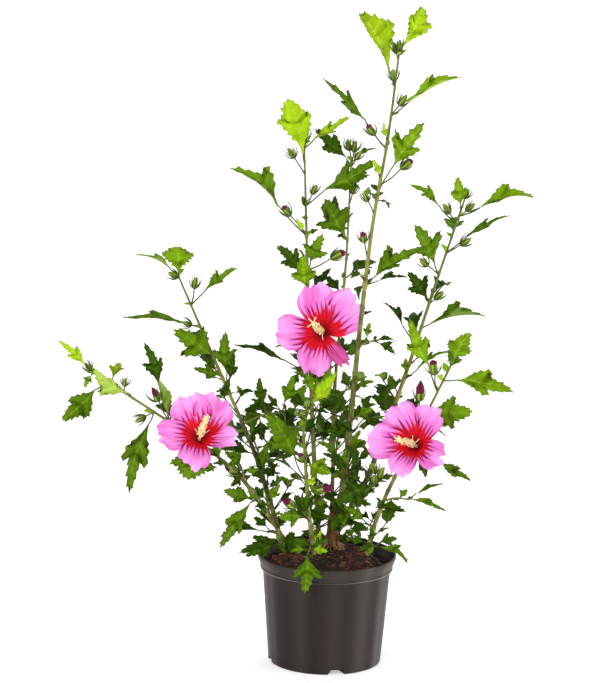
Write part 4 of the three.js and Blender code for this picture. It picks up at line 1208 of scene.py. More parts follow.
def growFine(cane, low, high, step, count, sizes):
    # small inner leaves, some on twiglets of their own
    curve = caneCurves[cane]
    draw = random.Random(f"{cane} {low}")
    bearing = draw.uniform(0, fullTurn)
    tones = tonesFrom(fineRule["tones"])
    height = low
    while height < high:
        share = curve.shareAt(height)
        joint = curve.along(share)
        for _ in range(count):
            bearing += fineRule["turn"] + draw.uniform(-0.4, 0.4)
            out = np.array([math.cos(bearing), math.sin(bearing), draw.uniform(*fineRule["lift"])])
            reach = unit(out) * draw.uniform(*sizes) * fineRule["stretch"]
            facing = unit(np.array([draw.uniform(-0.5, 0.5), draw.uniform(-1.2, 0.3), 0.8]))
            if not clearOfBlooms(joint + 0.6 * reach, 0.5 * sizes[1]):
                continue
            tone = draw.choice(tones)
            width = draw.uniform(*fineRule["width"])
            leafInto(tone, joint, reach, facing, width, fineRule["petiole"], "lobed", draw, 0.4)
            heading = unit(out + [0, 0, 0.5])
            end = joint + heading * draw.uniform(0.6, 1.2) * sizes[1]
            if draw.random() < fineRule["twiglets"] and clearOfBlooms(end, 0.5 * sizes[1]):
                stalkInto(joint, end, 0.9, 0.5, draw)
                youngLeaves(end, heading, fineRule["twigletLeaves"], 0.7 * sizes[1], tones, draw)
        height += step * draw.uniform(0.9, 1.5)


# the shoots of the far side and the rule that places their leaves, as in the solids
farShoots = {
    "rear_left": {"cane": "left", "at": 236, "twig": [-24, 84, 60], "seed": 11},
    "rear_back_left": {"cane": "back_left", "at": 246, "twig": [-46, 74, 84], "seed": 23},
    "rear_back": {"cane": "back", "at": 250, "twig": [14, 92, 70], "seed": 37},
    "rear_right": {"cane": "right", "at": 272, "twig": [52, 64, 46], "seed": 41},
    "rear_high": {"cane": "back_left", "at": 352, "twig": [16, 84, 50], "seed": 59},
}
farRule = {
    "tones": "mddm",
    "leaves": 6,  # on the main twig
    "forks": [[0.35, -0.9], [0.55, 0.9]],  # [share of the twig, turn in radians]
    "forkLength": 0.6,
    "forkLeaves": 3,
    "leafLength": [52, 70],
    "spacing": 26,  # between the middles of two leaves
    "turn": 2.4,  # the angle between one leaf and the next round the twig
    "lift": [0.05, 0.75],  # how steeply a leaf rises
}


def growFarShoot(name, plan):
    # roll gives the same numbers as it did for the solids
    draw = random.Random(name)
    cadPoints = tipsOf(name)
    seed = plan["seed"]

    def roll():
        nonlocal seed
        seed = (seed * 9301 + 49297) % 233280
        return seed / 233280

    def between(limits):
        return limits[0] + (limits[1] - limits[0]) * roll()

    middles = []
    tones = tonesFrom(farRule["tones"])

    def addLeaves(twig, count, start):
        for index in range(count):
            share = start + (1 - start) * (index + 0.5) / count
            bearing = index * farRule["turn"] + plan["seed"]
            rise = between(farRule["lift"])
            size = between(farRule["leafLength"])
            level = size * math.cos(rise)
            reach = np.array([math.cos(bearing) * level, math.sin(bearing) * level, size * math.sin(rise)])
            joint = twig.along(share)
            facing = 10 + 30 * roll()
            middle = joint + 0.6 * reach
            if any(np.linalg.norm(other - middle) < farRule["spacing"] for other in middles):
                continue
            middles.append(middle)
            youngLeaves(joint, twig.heading(share), 2, 16, tones, draw)
            reach = grownReach(joint, reach, cadPoints)
            if reach is not None:
                tone = tones[index % len(tones)]
                leafInto(tone, joint, reach, facingOf(facing), 0.6, 0.22, "lobed", draw, 0.4)

    main = twigCurve(plan["cane"], plan["at"], plan["twig"])
    shares, points = limbPoints(main, 0, 1, 5)
    tubeInto(twigs, points, 1.9 - 0.8 * shares, 8, age=0.7, stalk=0)
    addLeaves(main, farRule["leaves"], 0.2)
    for share, turn in farRule["forks"]:
        root = main.along(share)
        tip = root + turnedBy(main.heading(share), turn) * farRule["forkLength"] * main.length
        if np.min(np.linalg.norm(cadPoints - tip, axis=1)) > 2:
            continue
        fork = Spline([root, (root + tip) / 2, tip])
        _, forkPoints = limbPoints(fork, 0, 1, 5)
        tubeInto(twigs, forkPoints, np.linspace(1.2, 0.8, len(forkPoints)), 7, age=0.5, stalk=0)
        addLeaves(fork, farRule["forkLeaves"], 0.35)


# throat is where the petals part; petals: [bearing, reach, width]
blooms = {
    "bloom_left": {
        "throat": [-174, -118, 354], "faces": [0.08, -0.82, 0.56], "leans": [0.2, 0, 0.35],
        "petals": [[114, 52, 0.8], [58, 53, 0.8], [343, 49, 0.6], [255, 58, 0.72], [188, 59, 0.66]],
    },
    "bloom_centre": {
        "throat": [-17, 38, 463], "faces": [-0.14, -0.95, 0.22], "leans": [-0.35, 0, 0.3],
        "petals": [[102, 62, 0.68], [39, 66, 0.82], [189, 62, 0.7], [261, 64, 0.72], [308, 62, 0.36]],
    },
    "bloom_right": {
        "throat": [106, -103, 346], "faces": [-0.34, -0.83, 0.44], "leans": [-0.4, 0, 0],
        "petals": [[130, 50, 0.78], [56, 53, 0.7], [333, 60, 0.66], [261, 55, 0.62], [191, 60, 0.68]],
    },
}
bloomForm = {"depth": 20, "calyx": 13, "points": 5, "bracts": 7}
petalForm = {
    "rows": 32, "columns": 41, "thickness": 0.4, "ruffle": 3,
    "arch": 0.3, "fall": 0.07, "cup": 0.5, "overlap": 0.05, "crease": 0.02, "groove": 0.006,  # by the length
}
# [share of the petal's reach, half its width there]
petalWidths = [
    (0, 0.08), (0.15, 0.22), (0.3, 0.34), (0.45, 0.43), (0.6, 0.49), (0.75, 0.54), (0.88, 0.54),
    (0.96, 0.49), (1, 0.43),
]
columnForm = {
    "length": 38, "sides": 10, "anthers": 120, "filament": [2.6, 5.2], "anther": [0.75, 1.1],
    "arms": 5, "armTip": 1.3, "threadLength": 11,
}
# [arm length, share of the full column, the funnel's foot against the one in the solids, change of the lean]
columnPlans = {
    "bloom_left": [3.5, 1, (-1, 0, -8), (0, 0, 0.1)],
    "bloom_centre": [8, 0.78, (2, 0, -6), (0, 0, 0.15)],
    "bloom_right": [4, 1, (5, 0, -9), (0, 0, 0)],
}
# long filaments near the foot of a column: [across, up]
longThreads = {
    "bloom_left": [(-0.7, 0.7), (1.1, 0.5)],
    "bloom_centre": [(0.3, -1)],
    "bloom_right": [(0.8, 0.7), (-0.1, 1)],
}


def bloomFrame(bloom):
    # the throat, the way the bloom faces, and its right and up
    axis = unit(np.array(bloom["faces"], float))
    right = unit(np.cross([0, 0, 1], axis))
    return np.array(bloom["throat"], float), axis, right, np.cross(axis, right)


def bloomSeat(bloom):
    middle, axis, _, _ = bloomFrame(bloom)
    return middle - axis * (bloomForm["depth"] + bloomForm["calyx"])


def stalkToBloom(joint, bloom, draw):
    _, axis, _, _ = bloomFrame(bloom)
    seat = bloomSeat(bloom)
    curve = Spline([joint, seat - axis * 10, seat - axis * 0.35])
    _, points = limbPoints(curve, 0, 1, 3)
    tubeInto(twigs, points, np.linspace(1.3, 1.9, len(points)), 9, age=0.1, stalk=0)
    youngLeaves(joint, unit(seat - joint), 2, 14, ["fresh", "mid"], draw)


def petalInto(pile, base, tip, axis, width, index, draw):
    # a cupped petal with a ruffled edge; one that is less than half as wide as long is blushed
    along = tip - base
    length = np.linalg.norm(along)
    along /= length
    upper = unit(axis - along * axis.dot(along))
    across = np.cross(along, upper)
    rows, columns = petalForm["rows"], petalForm["columns"]
    reach = np.linspace(0, 1, rows)[:, None]
    side = np.linspace(-1, 1, columns)[None, :]
    phase = [draw.uniform(0, fullTurn) for _ in range(5)]
    crown = 1 - 0.11 * np.abs(side) ** 4 + draw.uniform(-0.05, 0.05) * side
    crown = crown + 0.03 * np.sin(5 * side + phase[0]) + 0.02 * np.sin(12 * side + phase[1])
    crown = crown + 0.008 * np.sin(27 * side + phase[2])
    x = 0.965 * reach * crown
    spread = np.interp(reach.ravel(), *np.array(petalWidths).T)[:, None]
    y = side * spread * width * (1 + 0.03 * np.sin(9 * reach + phase[2]) * np.sign(side))
    arch = petalForm["arch"] * x * (1 - x) - petalForm["fall"] * x ** 3
    cup = petalForm["cup"] * np.abs(y) ** 1.5 * (1.1 - 0.9 * x)
    overlap = petalForm["overlap"] * side * reach * (1 - 0.3 * reach)
    edge = np.clip(np.maximum(np.abs(side), reach ** 3) - 0.3, 0, 1) / 0.7
    ripple = petalForm["ruffle"] / length * edge ** 1.5 * reach
    ruffle = ripple * (np.sin(8.5 * x * np.sign(side) + phase[3]) + 0.8 * np.sin(8 * side + phase[4]) * reach)
    creases = petalForm["crease"] * np.sin(6.5 * side + phase[0] + 1.3 * reach)
    creases = creases + 0.006 * np.sin(15 * side + phase[1])
    groove = petalForm["groove"] * np.cos(math.pi * np.clip(side * 4, -1, 1)) * reach
    fine = 0.003 * np.sin(38 * side) * reach
    z = arch + cup + overlap + ruffle + creases * reach ** 1.5 - groove + fine
    grid = base + length * (x[..., None] * along + y[..., None] * across + z[..., None] * upper)
    half = upper * petalForm["thickness"] / 2
    blush = 0.75 if width < 0.5 else 0
    seed = index + draw.random()
    sheetInto(pile, grid, half, petalReach=reach, petalSide=side, petalSeed=seed, blush=blush)


def growBloom(name, bloom, columnPile):
    # back is the foot of the funnel, and behind is the place of the same foot in the solids
    draw = random.Random(name)
    middle, axis, right, up = bloomFrame(bloom)
    behind = middle - axis * bloomForm["depth"]
    back = behind + np.array(columnPlans[name][2], float)
    petals = Pile()
    for index, (bearing, reach, width) in enumerate(bloom["petals"]):
        out = spoke(right, up, math.radians(bearing))
        petalInto(petals, back + out * 1.2, middle + out * reach + axis * 2, axis, width, index, draw)
    finishes = [petalFinish(f"petal face {name}", 1.0), petalFinish(f"petal back {name}", 0.8)]
    petals.build(name.replace("bloom", "petals"), finishes, "petals", [name])
    growColumn(columnPile, name, bloom, back, draw)
    growCalyx(bloom, behind, back)


def growColumn(pile, name, bloom, back, draw):
    # the column with its anthers, the arms at its tip and a few long filaments
    _, axis, right, up = bloomFrame(bloom)
    arm, columnShare, _, bend = columnPlans[name]
    lean = np.array(bloom["leans"], float) + bend
    column = columnForm["length"] * columnShare

    def columnAt(share):
        return back + axis * column * share * (1.3 - 0.3 * share) + lean * column * share * share

    shares = np.linspace(0.02, 1, 18)
    girth = np.interp(shares, [0, 0.3, 0.5, 0.92, 1], [2.4, 1.8, 1.7, 1.5, 0.9])
    tubeInto(pile, [columnAt(share) for share in shares], girth, columnForm["sides"])
    for _ in range(columnForm["anthers"]):
        share = draw.uniform(0.3, 0.95)
        root = columnAt(share)
        ahead = unit(columnAt(min(1, share + 0.02)) - root)
        side = unit(np.cross(ahead, anyWay(draw)))
        out = side * draw.uniform(*columnForm["filament"]) * min(1, 1.7 - share)
        head = root + out + ahead * draw.uniform(-0.3, 1.6)
        tubeInto(pile, [root, (root + head) / 2, head], [0.3, 0.25, 0.25], 4)
        beadInto(pile, head, draw.uniform(*columnForm["anther"]), draw)
    arms = columnForm["arms"]
    tip = columnAt(0.97)
    for index in range(arms):
        out = spoke(right, up, 2 * math.pi * (index + draw.uniform(-0.15, 0.15)) / arms)
        chain = [tip + axis * 2.4 * s + out * arm * s ** 1.2 for s in np.linspace(0, 1, 5)]
        tubeInto(pile, chain, [1.2, 1, 0.9, 0.85, 0.9], 6)
        beadInto(pile, chain[-1], columnForm["armTip"], draw)
    for across, rise in longThreads[name]:
        ways = [right * across * s + up * rise * s ** 1.6 + axis * 0.35 * s for s in np.linspace(0, 1, 6)]
        chain = [columnAt(0.3) + way * columnForm["threadLength"] for way in ways]
        tubeInto(pile, chain, [0.6, 0.6, 0.55, 0.55, 0.5, 0.5], 5)


def growCalyx(bloom, behind, back):
    # the cup behind the petals, its points and the slim bracts under it
    _, axis, right, up = bloomFrame(bloom)
    deep, points, bracts = bloomForm["calyx"], bloomForm["points"], bloomForm["bracts"]
    rings, sides = 8, 20
    depths = np.linspace(-deep, -1.5, rings)
    cup = np.interp(depths, [-13, -10, -5, -1.5], [1.9, 4.2, 5.6, 4.4])
    lobes = [1 + 0.08 * np.cos(points * around(sides)) * ring / (rings - 1) for ring in range(rings)]
    chain = [behind + axis * depth + (back - behind) * (1 + depth / deep) for depth in depths]
    tubeInto(buds, chain, cup, sides, relief=lobes, rise=0.3)
    for index in range(points):
        out = spoke(right, up, 2 * math.pi * (index + 0.5) / points)
        chain = [back + axis * (5 * s - 9) + out * (5.2 + 5.5 * s ** 1.5) for s in np.linspace(0, 1, 5)]
        tubeInto(buds, chain, [2.6, 2.4, 1.9, 1.1, 0.3], 6, rise=0.6)
    foot = behind - axis * (deep - 3)
    for index in range(bracts):
        out = spoke(right, up, 2 * math.pi * (index + 0.3) / bracts)
        chain = [foot + axis * 13 * s + out * (2 + 9 * math.sin(1.5 * s)) for s in np.linspace(0, 1, 6)]
        tubeInto(buds, chain, [0.9, 0.85, 0.75, 0.6, 0.45, 0.15], 5, rise=0.8)


def beadInto(pile, centre, radius, draw):
    # a faceted grain, such as an anther
    way = unit(anyWay(draw))
    points = [centre + way * radius * step for step in (-1, -0.55, 0.15, 0.75, 1)]
    tubeInto(pile, points, radius * np.array([0.25, 0.85, 1, 0.7, 0.2]), 7)


stemForm = {
    "sides": 16, "joints": 7, "ridges": 5, "ridgeDepth": 0.035, "knotDepth": 0.1,
    "gloom": 0.46,  # how dark the painted shade on the canes is at mid height, inside the crown, but for the canes in stemCrownShade
    "crownShadeHeights": [170, 260, 500, 580], "crownShadeShares": [0, 1, 0.9, 0],
}
stemCrownShade = {"left": 0.72, "far_left": 0.22, "low_right": 0.52}


def growStems():
    # the bare part of every cane, up to where its shoot starts
    bark = Pile()
    sides, count = stemForm["sides"], stemForm["joints"]
    angles = around(sides)
    for name, plan in canes.items():
        curve = caneCurves[name]
        radiusAt = caneRadius(name)
        fromSoil = plan["path"][0][2] < soilTop
        start = curve.shareAt(soilTop - 1.5) if fromSoil else 0.02
        end = curve.shareAt(plan["leafyFrom"]) + 0.004
        shares, points = limbPoints(curve, start, end, 3)
        draw = random.Random(name)
        joints = [start + (end - start) * (index + draw.uniform(0.2, 0.8)) / count for index in range(count)]
        radii = np.array([radiusAt(share) for share in shares]) * nodeRings(shares, joints, curve.length)
        phase = draw.uniform(0, fullTurn)
        relief = []
        for height in shares * curve.length:
            ridge = stemForm["ridgeDepth"] * np.sin(stemForm["ridges"] * angles + phase + 0.02 * height)
            relief.append(1 + ridge + stemForm["knotDepth"] * ringNoise(angles, 1.6, height * 0.16))
        # painted shade on the canes inside the crown, most at mid height
        darkness = stemCrownShade.get(name, stemForm["gloom"])
        gloom = darkness * np.interp(points[:, 2], stemForm["crownShadeHeights"], stemForm["crownShadeShares"])
        gloom = np.concatenate([np.repeat(gloom, sides), [0, 0]])
        tubeInto(bark, points, radii, sides, relief=relief, gloom=gloom)
    finish = barkFinish("olive young bark", tint(160, 158, 94), tint(92, 90, 32), tint(194, 186, 134), 1.2)
    bark.build("stems", [finish], "stem_bark", [f"stem_{name}" for name in canes])


rootForm = {"count": 11, "turn": 2.4, "reach": [10, 22], "foot": [1.2, 2.6], "tip": 0.5, "startAt": 9}


def growTrunk():
    # the old stump with its cracks and knots, and the surface roots round its foot
    trunk = Pile()
    curve = caneCurves["stump"]
    soilShare = curve.shareAt(soilTop)
    shares, points = limbPoints(curve, curve.shareAt(soilTop - 2), 1, 1.6)
    rise = np.clip((shares - soilShare) / (1 - soilShare), 0, 1)
    foot, waist, top = stump["foot"], stump["waist"], stump["top"]
    radii = np.interp(rise, [0, 0.12, 0.3, 1], [foot, waist * 1.22, waist, top])
    # a cut top, with its rim rounded off
    radii[-1] *= 0.8
    points = np.concatenate([points, points[-1:] + [[0.3, 0, 1.2]]])
    radii = np.append(radii, top * 0.3)
    sides = 32
    angles = around(sides)
    relief = []
    for height in points[:, 2]:
        low = max(0, 1 - (height - soilTop) / 22)
        flare = 0.2 * low * np.cos(4 * angles + 0.7)
        cracks = ringNoise(angles, 3.2, height * 0.07)
        knots = ringNoise(angles, 1.1, height * 0.12 + 7)
        relief.append(1 + flare + 0.15 * cracks + 0.16 * knots)
    tubeInto(trunk, points, radii, sides, relief=relief)
    draw = random.Random("roots")
    ground = curve.along(soilShare)
    steps = np.linspace(0, 1, 7)
    for index in range(rootForm["count"]):
        angle = index * rootForm["turn"] + 0.4
        out = np.array([math.cos(angle), math.sin(angle), 0])
        aside = np.array([-out[1], out[0], 0])
        reach = draw.uniform(*rootForm["reach"])
        chain = []
        for s in steps:
            place = ground + out * (rootForm["startAt"] + reach * s)
            lift = np.array([0, 0, 5.5 * (1 - s) ** 2 - 0.8])
            chain.append(place + lift + aside * 3 * math.sin(3 * s + index))
        tubeInto(trunk, chain, np.linspace(draw.uniform(*rootForm["foot"]), rootForm["tip"], 7), 8)
    finish = barkFinish("old brown bark", tint(138, 94, 54), tint(62, 40, 24), tint(172, 138, 96), 0.9)
    trunk.build("old_wood", [finish], "trunk_bark", ["trunk"])


pot = {
    "height": 153, "rimRadius": 96.5, "bandHeight": 20, "bandFootRadius": 91, "wallTopRadius": 88.5,
    "footRadius": 78, "wall": 2, "floor": 2.5, "lip": 1,
    "notchHeight": 7, "notchReach": 24,  # each arch in the foot, and how far it runs in
    "notchFirst": 282.6, "notchHalf": 8.75, "notchSlope": 4.1,  # in degrees round the foot
}
# bands of painted highlight down the pot's wall: [bearing from the front in degrees, width, strength]
potHighlights = [
    [37, 10, 0.7], [62, 7, 1], [-60, 4, 0.45], [-24, 9, 0.3], [8, 12, 0.25], [100, 9, 0.6], [135, 12, 0.8],
    [180, 9, 0.4], [-100, 8, 0.5], [-140, 12, 0.7],
]


def potInner(height):
    # the radius inside the wall
    bandFoot = pot["height"] - pot["bandHeight"]
    if height > bandFoot:
        share = (height - bandFoot) / pot["bandHeight"]
        return pot["bandFootRadius"] + share * (pot["rimRadius"] - pot["bandFootRadius"]) - pot["wall"]
    return pot["footRadius"] + height / bandFoot * (pot["wallTopRadius"] - pot["footRadius"]) - pot["wall"]


def potProfile():
    # [radius, height] from the middle of the underside, up the outside, over the rim and down to the floor
    height, lip, wall, notchTop = pot["height"], pot["lip"], pot["wall"], pot["notchHeight"]
    bandFoot = height - pot["bandHeight"]
    foot, band, rim = pot["footRadius"], pot["bandFootRadius"], pot["rimRadius"]

    def wallAt(level):
        return foot + level / bandFoot * (pot["wallTopRadius"] - foot)

    outer = [(foot - 3, 0), (foot - 1.2, 0.35), (foot - 0.3, 1.3)]
    levels = [2.6, 4.5, notchTop, notchTop + 0.5, *np.linspace(12, bandFoot - 1.2, 22)]
    outer += [(wallAt(level), level) for level in levels]
    outer += [(wallAt(bandFoot) + 0.1, bandFoot - 0.5), (band + lip - 0.7, bandFoot - 0.2)]
    outer += [(band + lip, bandFoot + 0.4), (band + lip, bandFoot + 1.4), (band + lip - 0.5, bandFoot + 2.2)]
    outer += [(band + 0.2, bandFoot + 3.2)]
    outer += [(band + (rim - band) * share, bandFoot + 3.2 + 14 * share) for share in (0.25, 0.5, 0.75)]
    outer += [(rim, height - 2.2), (rim, height - 1.0), (rim - 0.4, height - 0.25), (rim - 1, height)]
    inner = [(rim - wall, height - 0.3), (rim - wall - 0.3, height - 1.5)]
    inner += [(potInner(level), level) for level in (bandFoot + 2, bandFoot - wall, 80, 22, 13, pot["floor"])]
    inner += [(30, pot["floor"]), (0.01, pot["floor"])]
    under = [(0.01, 0.0), (foot - 8, 0.0)]
    return under + outer + inner, len(under) + len(outer)


def makePot():
    foot, notchTop = pot["footRadius"], pot["notchHeight"]
    bandFoot = pot["height"] - pot["bandHeight"]
    profile, inside = potProfile()
    degrees = set(np.linspace(0, 360, 180, endpoint=False).round(3))
    for turn in range(4):
        for edge in (-8.9, -8.6, -4.6, 4.6, 8.6, 8.9):  # more columns at the edges of each arch
            degrees.add(round((pot["notchFirst"] + 90 * turn + edge) % 360, 3))
    angles = np.radians(sorted(degrees))
    quarter = math.radians(90)
    off = (angles - math.radians(pot["notchFirst"]) + quarter / 2) % quarter - quarter / 2
    half = math.radians(pot["notchHalf"])
    opened = np.clip((half - np.abs(off)) / math.radians(pot["notchSlope"]), 0, 1)
    back = foot - pot["notchReach"]
    grid = np.zeros((len(profile), len(angles), 3))
    for row, (radius, level) in enumerate(profile):
        if row < inside:
            recess = (level < notchTop * opened + 0.2) & (radius > foot - 10) & (opened > 0.02)
            reach = np.where(recess, min(radius, back), radius)
        else:
            recess = (level < notchTop + 7) & (np.abs(off) < half * 1.3)
            reach = np.where(recess, min(radius, back - 3), radius)
        grid[row, :, 0] = reach * np.cos(angles)
        grid[row, :, 1] = reach * np.sin(angles)
        grid[row, :, 2] = level
    bearings = np.degrees(np.arctan2(np.cos(angles), -np.sin(angles)))
    # painted highlight: soft bands at fixed bearings round the wall
    sheen = 0
    for bearing, width, strength in potHighlights:
        sheen = sheen + strength * np.exp(-(((bearings - bearing + 180) % 360 - 180) / width) ** 2)
    # a painted highlight along the lip under the band, brightest at the sides
    lip = pot["bandFootRadius"] + pot["lip"]
    lipRows = np.array([abs(radius - lip) < 0.8 and abs(level - bandFoot) < 1 for radius, level in profile])
    worn = np.outer(lipRows, 0.12 + 0.88 * np.abs(np.sin(np.radians(bearings))) ** 1.5)
    # the painted highlight is stronger on the rim and absent inside the pot
    outside = np.arange(len(profile)) < inside
    rimRows = outside & np.array([level > bandFoot + 3 for _, level in profile])
    sheen = np.clip(sheen + 0.22 * rimRows[:, None], 0, 1) * outside[:, None]
    pile = Pile()
    pile.add(grid, hoopFaces(len(profile), len(angles)), worn=worn.ravel(), sheen=sheen.ravel())
    pile.build("nursery_pot", [potFinish()], "pot", ["pot"])


soilForm = {
    "rings": 44, "around": 120,
    "gap": 0.35,  # to the wall of the pot
    "rootlets": 46, "stumpRootlets": 40,
}
soilRim = potInner(soilEdge) - soilForm["gap"]
# chips: [count, light, dark, size range, patches]; a patch is [right, back, spread]
chipKinds = {
    "bark_dark": [700, tint(66, 36, 23), tint(24, 13, 9), [2.5, 8], [[0, 0, 90]]],
    "bark_red": [
        230, tint(118, 60, 34), tint(62, 28, 16), [2.5, 8], [[-52, -46, 26], [44, -62, 24], [38, 8, 34]],
    ],
    "bark_pale": [18, tint(150, 108, 72), tint(96, 64, 40), [2.5, 6], [[0, 0, 90]]],
}


def soilHeight(x, y):
    # a low crown that leans away from the back right
    distance = math.hypot(x + 12, y)
    share = min(1, max(0, (distance - soilCrown) / (soilRim - soilCrown)))
    low = soilEdge - 8 * min(1, max(0, (0.85 * x + 0.5 * y) / 80))
    level = soilTop + (low - soilTop) * share
    lumps = 1.3 * noise.noise(Vector((x * 0.09, y * 0.09, 3)))
    crumbs = 0.7 * noise.noise(Vector((x * 0.3, y * 0.3, 9)))
    return level + lumps + crumbs


def makeSoil():
    bed = Pile()
    rings, count = soilForm["rings"], soilForm["around"]
    points = []
    for ring in range(rings):
        radius = 0.4 + (soilRim - 0.4) * ring / (rings - 1)
        for step in range(count):
            angle = 2 * math.pi * step / count
            x, y = radius * math.cos(angle), radius * math.sin(angle)
            points.append((x, y, soilHeight(x, y)))
    bed.add(points, hoopFaces(rings, count)[:, [0, 3, 2, 1]])  # facing up
    finish = plainFinish("dark crumbly mix", tint(52, 31, 20), tint(18, 10, 7), 420, 0.95, 0.9, 0.0015)
    bed.build("soil_bed", [finish], "soil", ["soil"])


def chipInto(pile, centre, size, draw):
    # a crumb of bark: a bent little slab
    turn = Matrix.Rotation(draw.uniform(0, fullTurn), 3, "Z") @ Matrix.Rotation(draw.gauss(0, 0.45), 3, "X")
    turn = np.array(turn @ Matrix.Rotation(draw.gauss(0, 0.35), 3, "Y"))
    long, wide, thick = size, size * draw.uniform(0.35, 0.7), size * draw.uniform(0.14, 0.34)
    corners = []
    for x in (-0.5, 0, 0.5):
        for y, z in ((-0.5, -0.5), (0.5, -0.5), (0.5, 0.5), (-0.5, 0.5)):
            shrink = 1 if x == 0 else draw.uniform(0.5, 0.95)
            bend = 0.4 * thick * (x == 0)
            place = [long * x * draw.uniform(0.85, 1), wide * y * shrink, thick * z * shrink + bend]
            corners.append(turn @ np.array(place) + centre)
    faces = [(0, 3, 2, 1), (8, 9, 10, 11)]
    for low in (0, 4):
        faces += [(low + a, low + b, low + 4 + b, low + 4 + a) for a, b in ((0, 1), (1, 2), (2, 3), (3, 0))]
    pile.add(corners, faces)


def strewChips():
    for name, (count, light, dark, sizes, patches) in chipKinds.items():
        draw = random.Random(name)
        chips = Pile()
        for index in range(count):
            middleX, middleY, spread = patches[index % len(patches)]
            x, y = middleX + draw.gauss(0, 0.7) * spread, middleY + draw.gauss(0, 0.7) * spread
            size = draw.uniform(*sizes)
            if math.hypot(x, y) < soilRim - 6:
                chipInto(chips, np.array([x, y, soilHeight(x, y) + size * 0.08]), size, draw)
        finish = plainFinish(name.replace("_", " "), light, dark, 500, 0.9, 0.7)
        chips.build(name, [finish], "soil", smooth=False)


def layRootlets():
    # pale rootlets that lie on the soil, and more that come down from the foot of the stump
    roots = Pile()
    draw = random.Random("rootlets")
    steps = 5
    for _ in range(soilForm["rootlets"]):
        radius = 12 + 60 * math.sqrt(draw.random())
        angle = draw.uniform(0, 2 * math.pi)
        x, y = radius * math.cos(angle) + 5, radius * math.sin(angle) + 10
        if math.hypot(x, y) > soilRim - 14:
            continue
        bearing = draw.uniform(0, fullTurn)
        length = draw.uniform(6, 18)
        chain = []
        for step in range(steps + 1):
            bearing += draw.uniform(-0.5, 0.5)
            x += math.cos(bearing) * length / steps
            y += math.sin(bearing) * length / steps
            chain.append((x, y, soilHeight(x, y) + 0.6 + draw.uniform(-0.3, 0.8)))
        tubeInto(roots, chain, np.linspace(0.6, 0.25, steps + 1), 5)
    stumpFoot = caneCurves["stump"].along(caneCurves["stump"].shareAt(soilTop))
    steps = 6
    for _ in range(soilForm["stumpRootlets"]):
        # most of them on the front half
        bearing = draw.uniform(math.pi, 2 * math.pi) if draw.random() < 0.75 else draw.uniform(0, math.pi)
        start = stumpFoot + 9 * np.array([math.cos(bearing), math.sin(bearing), 0])
        x, y, lift = start[0], start[1], draw.uniform(2, 12)
        length = draw.uniform(10, 24)
        chain = []
        for step in range(steps + 1):
            rise = 0.5 + lift * (1 - step / steps) ** 2
            chain.append((x, y, soilHeight(x, y) + rise + draw.uniform(-0.4, 0.9)))
            bearing += draw.uniform(-0.7, 0.7)
            x += math.cos(bearing) * length / steps
            y += math.sin(bearing) * length / steps
        tubeInto(roots, chain, np.linspace(draw.uniform(0.5, 1.0), 0.3, steps + 1), 6)
    finish = plainFinish("pale rootlets", tint(196, 158, 112), tint(136, 100, 62), 300, 0.85)
    roots.build("root_bits", [finish], "soil")


# the camera, lights and stage are in metres
cameraPlan = {"place": (-0.0438, -4.8, 1.457), "pitch": 11.83, "roll": 1.3, "lens": 188.7, "sensor": 36}
lampPlans = [
    {"name": "key", "place": (-2.1, -3.1, 2.5), "size": (1.2, 1.9), "power": 79},
    {"name": "side", "place": (3.1, -1.2, 1.0), "size": (0.9, 2.0), "power": 44},
    {"name": "strip", "place": (-1.5, -2.6, 0.55), "size": (0.2, 1.0), "power": 4},
    {"name": "back", "place": (0.6, 1.9, 2.7), "size": (2, 1.6), "power": 30},
]
lampAim = (0, 0, 0.45)
surround = 0.1  # light from all round
stageForm = {
    "flat": 11, "bend": 2, "top": 6, "around": 72,
    "near": (0.46, 0.46, 0.46), "far": (0.76, 0.76, 0.76),  # its glow, under the plant and far out
}


def makeStage():
    # a wide floor that curves up all round, so that a camera on any side stands inside it
    flat, bend, count = stageForm["flat"], stageForm["bend"], stageForm["around"]
    profile = [(0.01, 0)] + [(reach, 0) for reach in (0.5, 1, 2, 4, 7, flat)]
    bends = np.linspace(0.15, math.pi / 2, 10)
    profile += [(flat + bend * math.sin(a), bend - bend * math.cos(a)) for a in bends]
    profile += [(flat + bend, stageForm["top"])]
    angles = [2 * math.pi * step / count for step in range(count)]
    points = [(reach * math.cos(a), reach * math.sin(a), z) for reach, z in profile for a in angles]
    faces = hoopFaces(len(profile), count)
    mesh = bpy.data.meshes.new("studio_sweep")
    mesh.from_pydata(points, [], [tuple(face) for face in faces.tolist()])
    mesh.polygons.foreach_set("use_smooth", np.ones(len(faces), bool))
    shade = Shade("pale paper sweep", roughness=0.9, Emission_Strength=1)
    grain = shade.noise(40, 3)
    away = shade.node("ShaderNodeVectorMath", {"operation": "LENGTH"}, {0: shade.place()}, "Value")
    glow = shade.mix(shade.smooth(away, 1.2, 5), stageForm["near"], stageForm["far"])
    shade.plug(shade.shader.inputs["Emission Color"], glow)
    paper = shade.mix(grain, (0.9, 0.9, 0.9), (0.93, 0.93, 0.93))
    mesh.materials.append(shade.finish(paper, None, grain, 0.05))
    standing("studio_sweep", mesh)


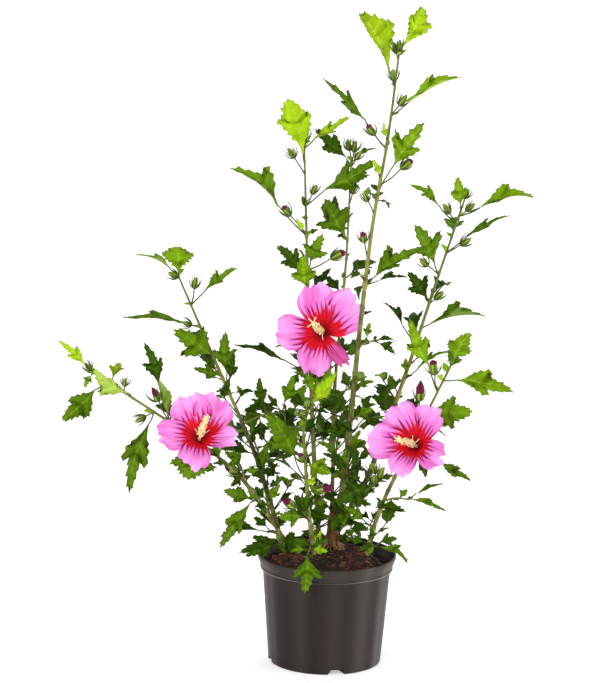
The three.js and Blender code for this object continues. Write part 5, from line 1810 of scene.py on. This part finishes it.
def makeLight():
    for plan in lampPlans:
        lamp = bpy.data.lights.new(plan["name"], "AREA")
        lamp.energy = plan["power"]
        lamp.shape = "RECTANGLE"
        lamp.size, lamp.size_y = plan["size"]
        holder = standing(plan["name"], lamp)
        holder.location = plan["place"]
        holder.rotation_euler = (Vector(lampAim) - holder.location).to_track_quat("-Z", "Y").to_euler()
    world = bpy.data.worlds.new("soft surround")
    world.use_nodes = True
    background = world.node_tree.nodes["Background"]
    background.inputs["Color"].default_value = (1, 1, 1, 1)
    background.inputs["Strength"].default_value = surround
    bpy.context.scene.world = world
    bpy.context.scene.view_settings.view_transform = "Standard"


def makeCamera():
    camera = bpy.data.cameras.new("view")
    camera.lens = cameraPlan["lens"]
    camera.sensor_width = cameraPlan["sensor"]
    camera.clip_end = 60
    holder = standing("view", camera)
    tilt = Matrix.Rotation(math.radians(90 - cameraPlan["pitch"]), 4, "X")
    roll = Matrix.Rotation(math.radians(cameraPlan["roll"]), 4, "Z")
    holder.matrix_world = Matrix.Translation(cameraPlan["place"]) @ tilt @ roll
    bpy.context.scene.camera = holder


makeCamera()
makeLight()
makeStage()
print("camera, lights and stage set")
makePot()
makeSoil()
strewChips()
layRootlets()
growTrunk()
growStems()
for shootName, shootPlan in shoots.items():
    growShoot(shootName, shootPlan)
for shootName, shootPlan in farShoots.items():
    growFarShoot(shootName, shootPlan)
for row in fineGrowth:
    growFine(*row)
columns = Pile()
for bloomName, bloomPlan in blooms.items():
    growBloom(bloomName, bloomPlan, columns)
cream = plainFinish("cream column", tint(252, 240, 196), tint(238, 214, 150), 900, 0.6)
columns.build("columns", [cream], "petals")
for toneName, pile in leaves.items():
    pile.build(f"leaves_{toneName}", leafFinishes(toneName), "foliage")
twigs.build("green_twigs", [greenStemFinish()], "foliage", sorted([*shoots, *farShoots]))
buds.build("buds", [budFinish("green bud", tint(54, 72, 18), tint(176, 204, 76))], "foliage")
budTips.build("bud_tips", [budFinish("maroon bud tip", tint(58, 2, 26), tint(150, 22, 84))], "petals")
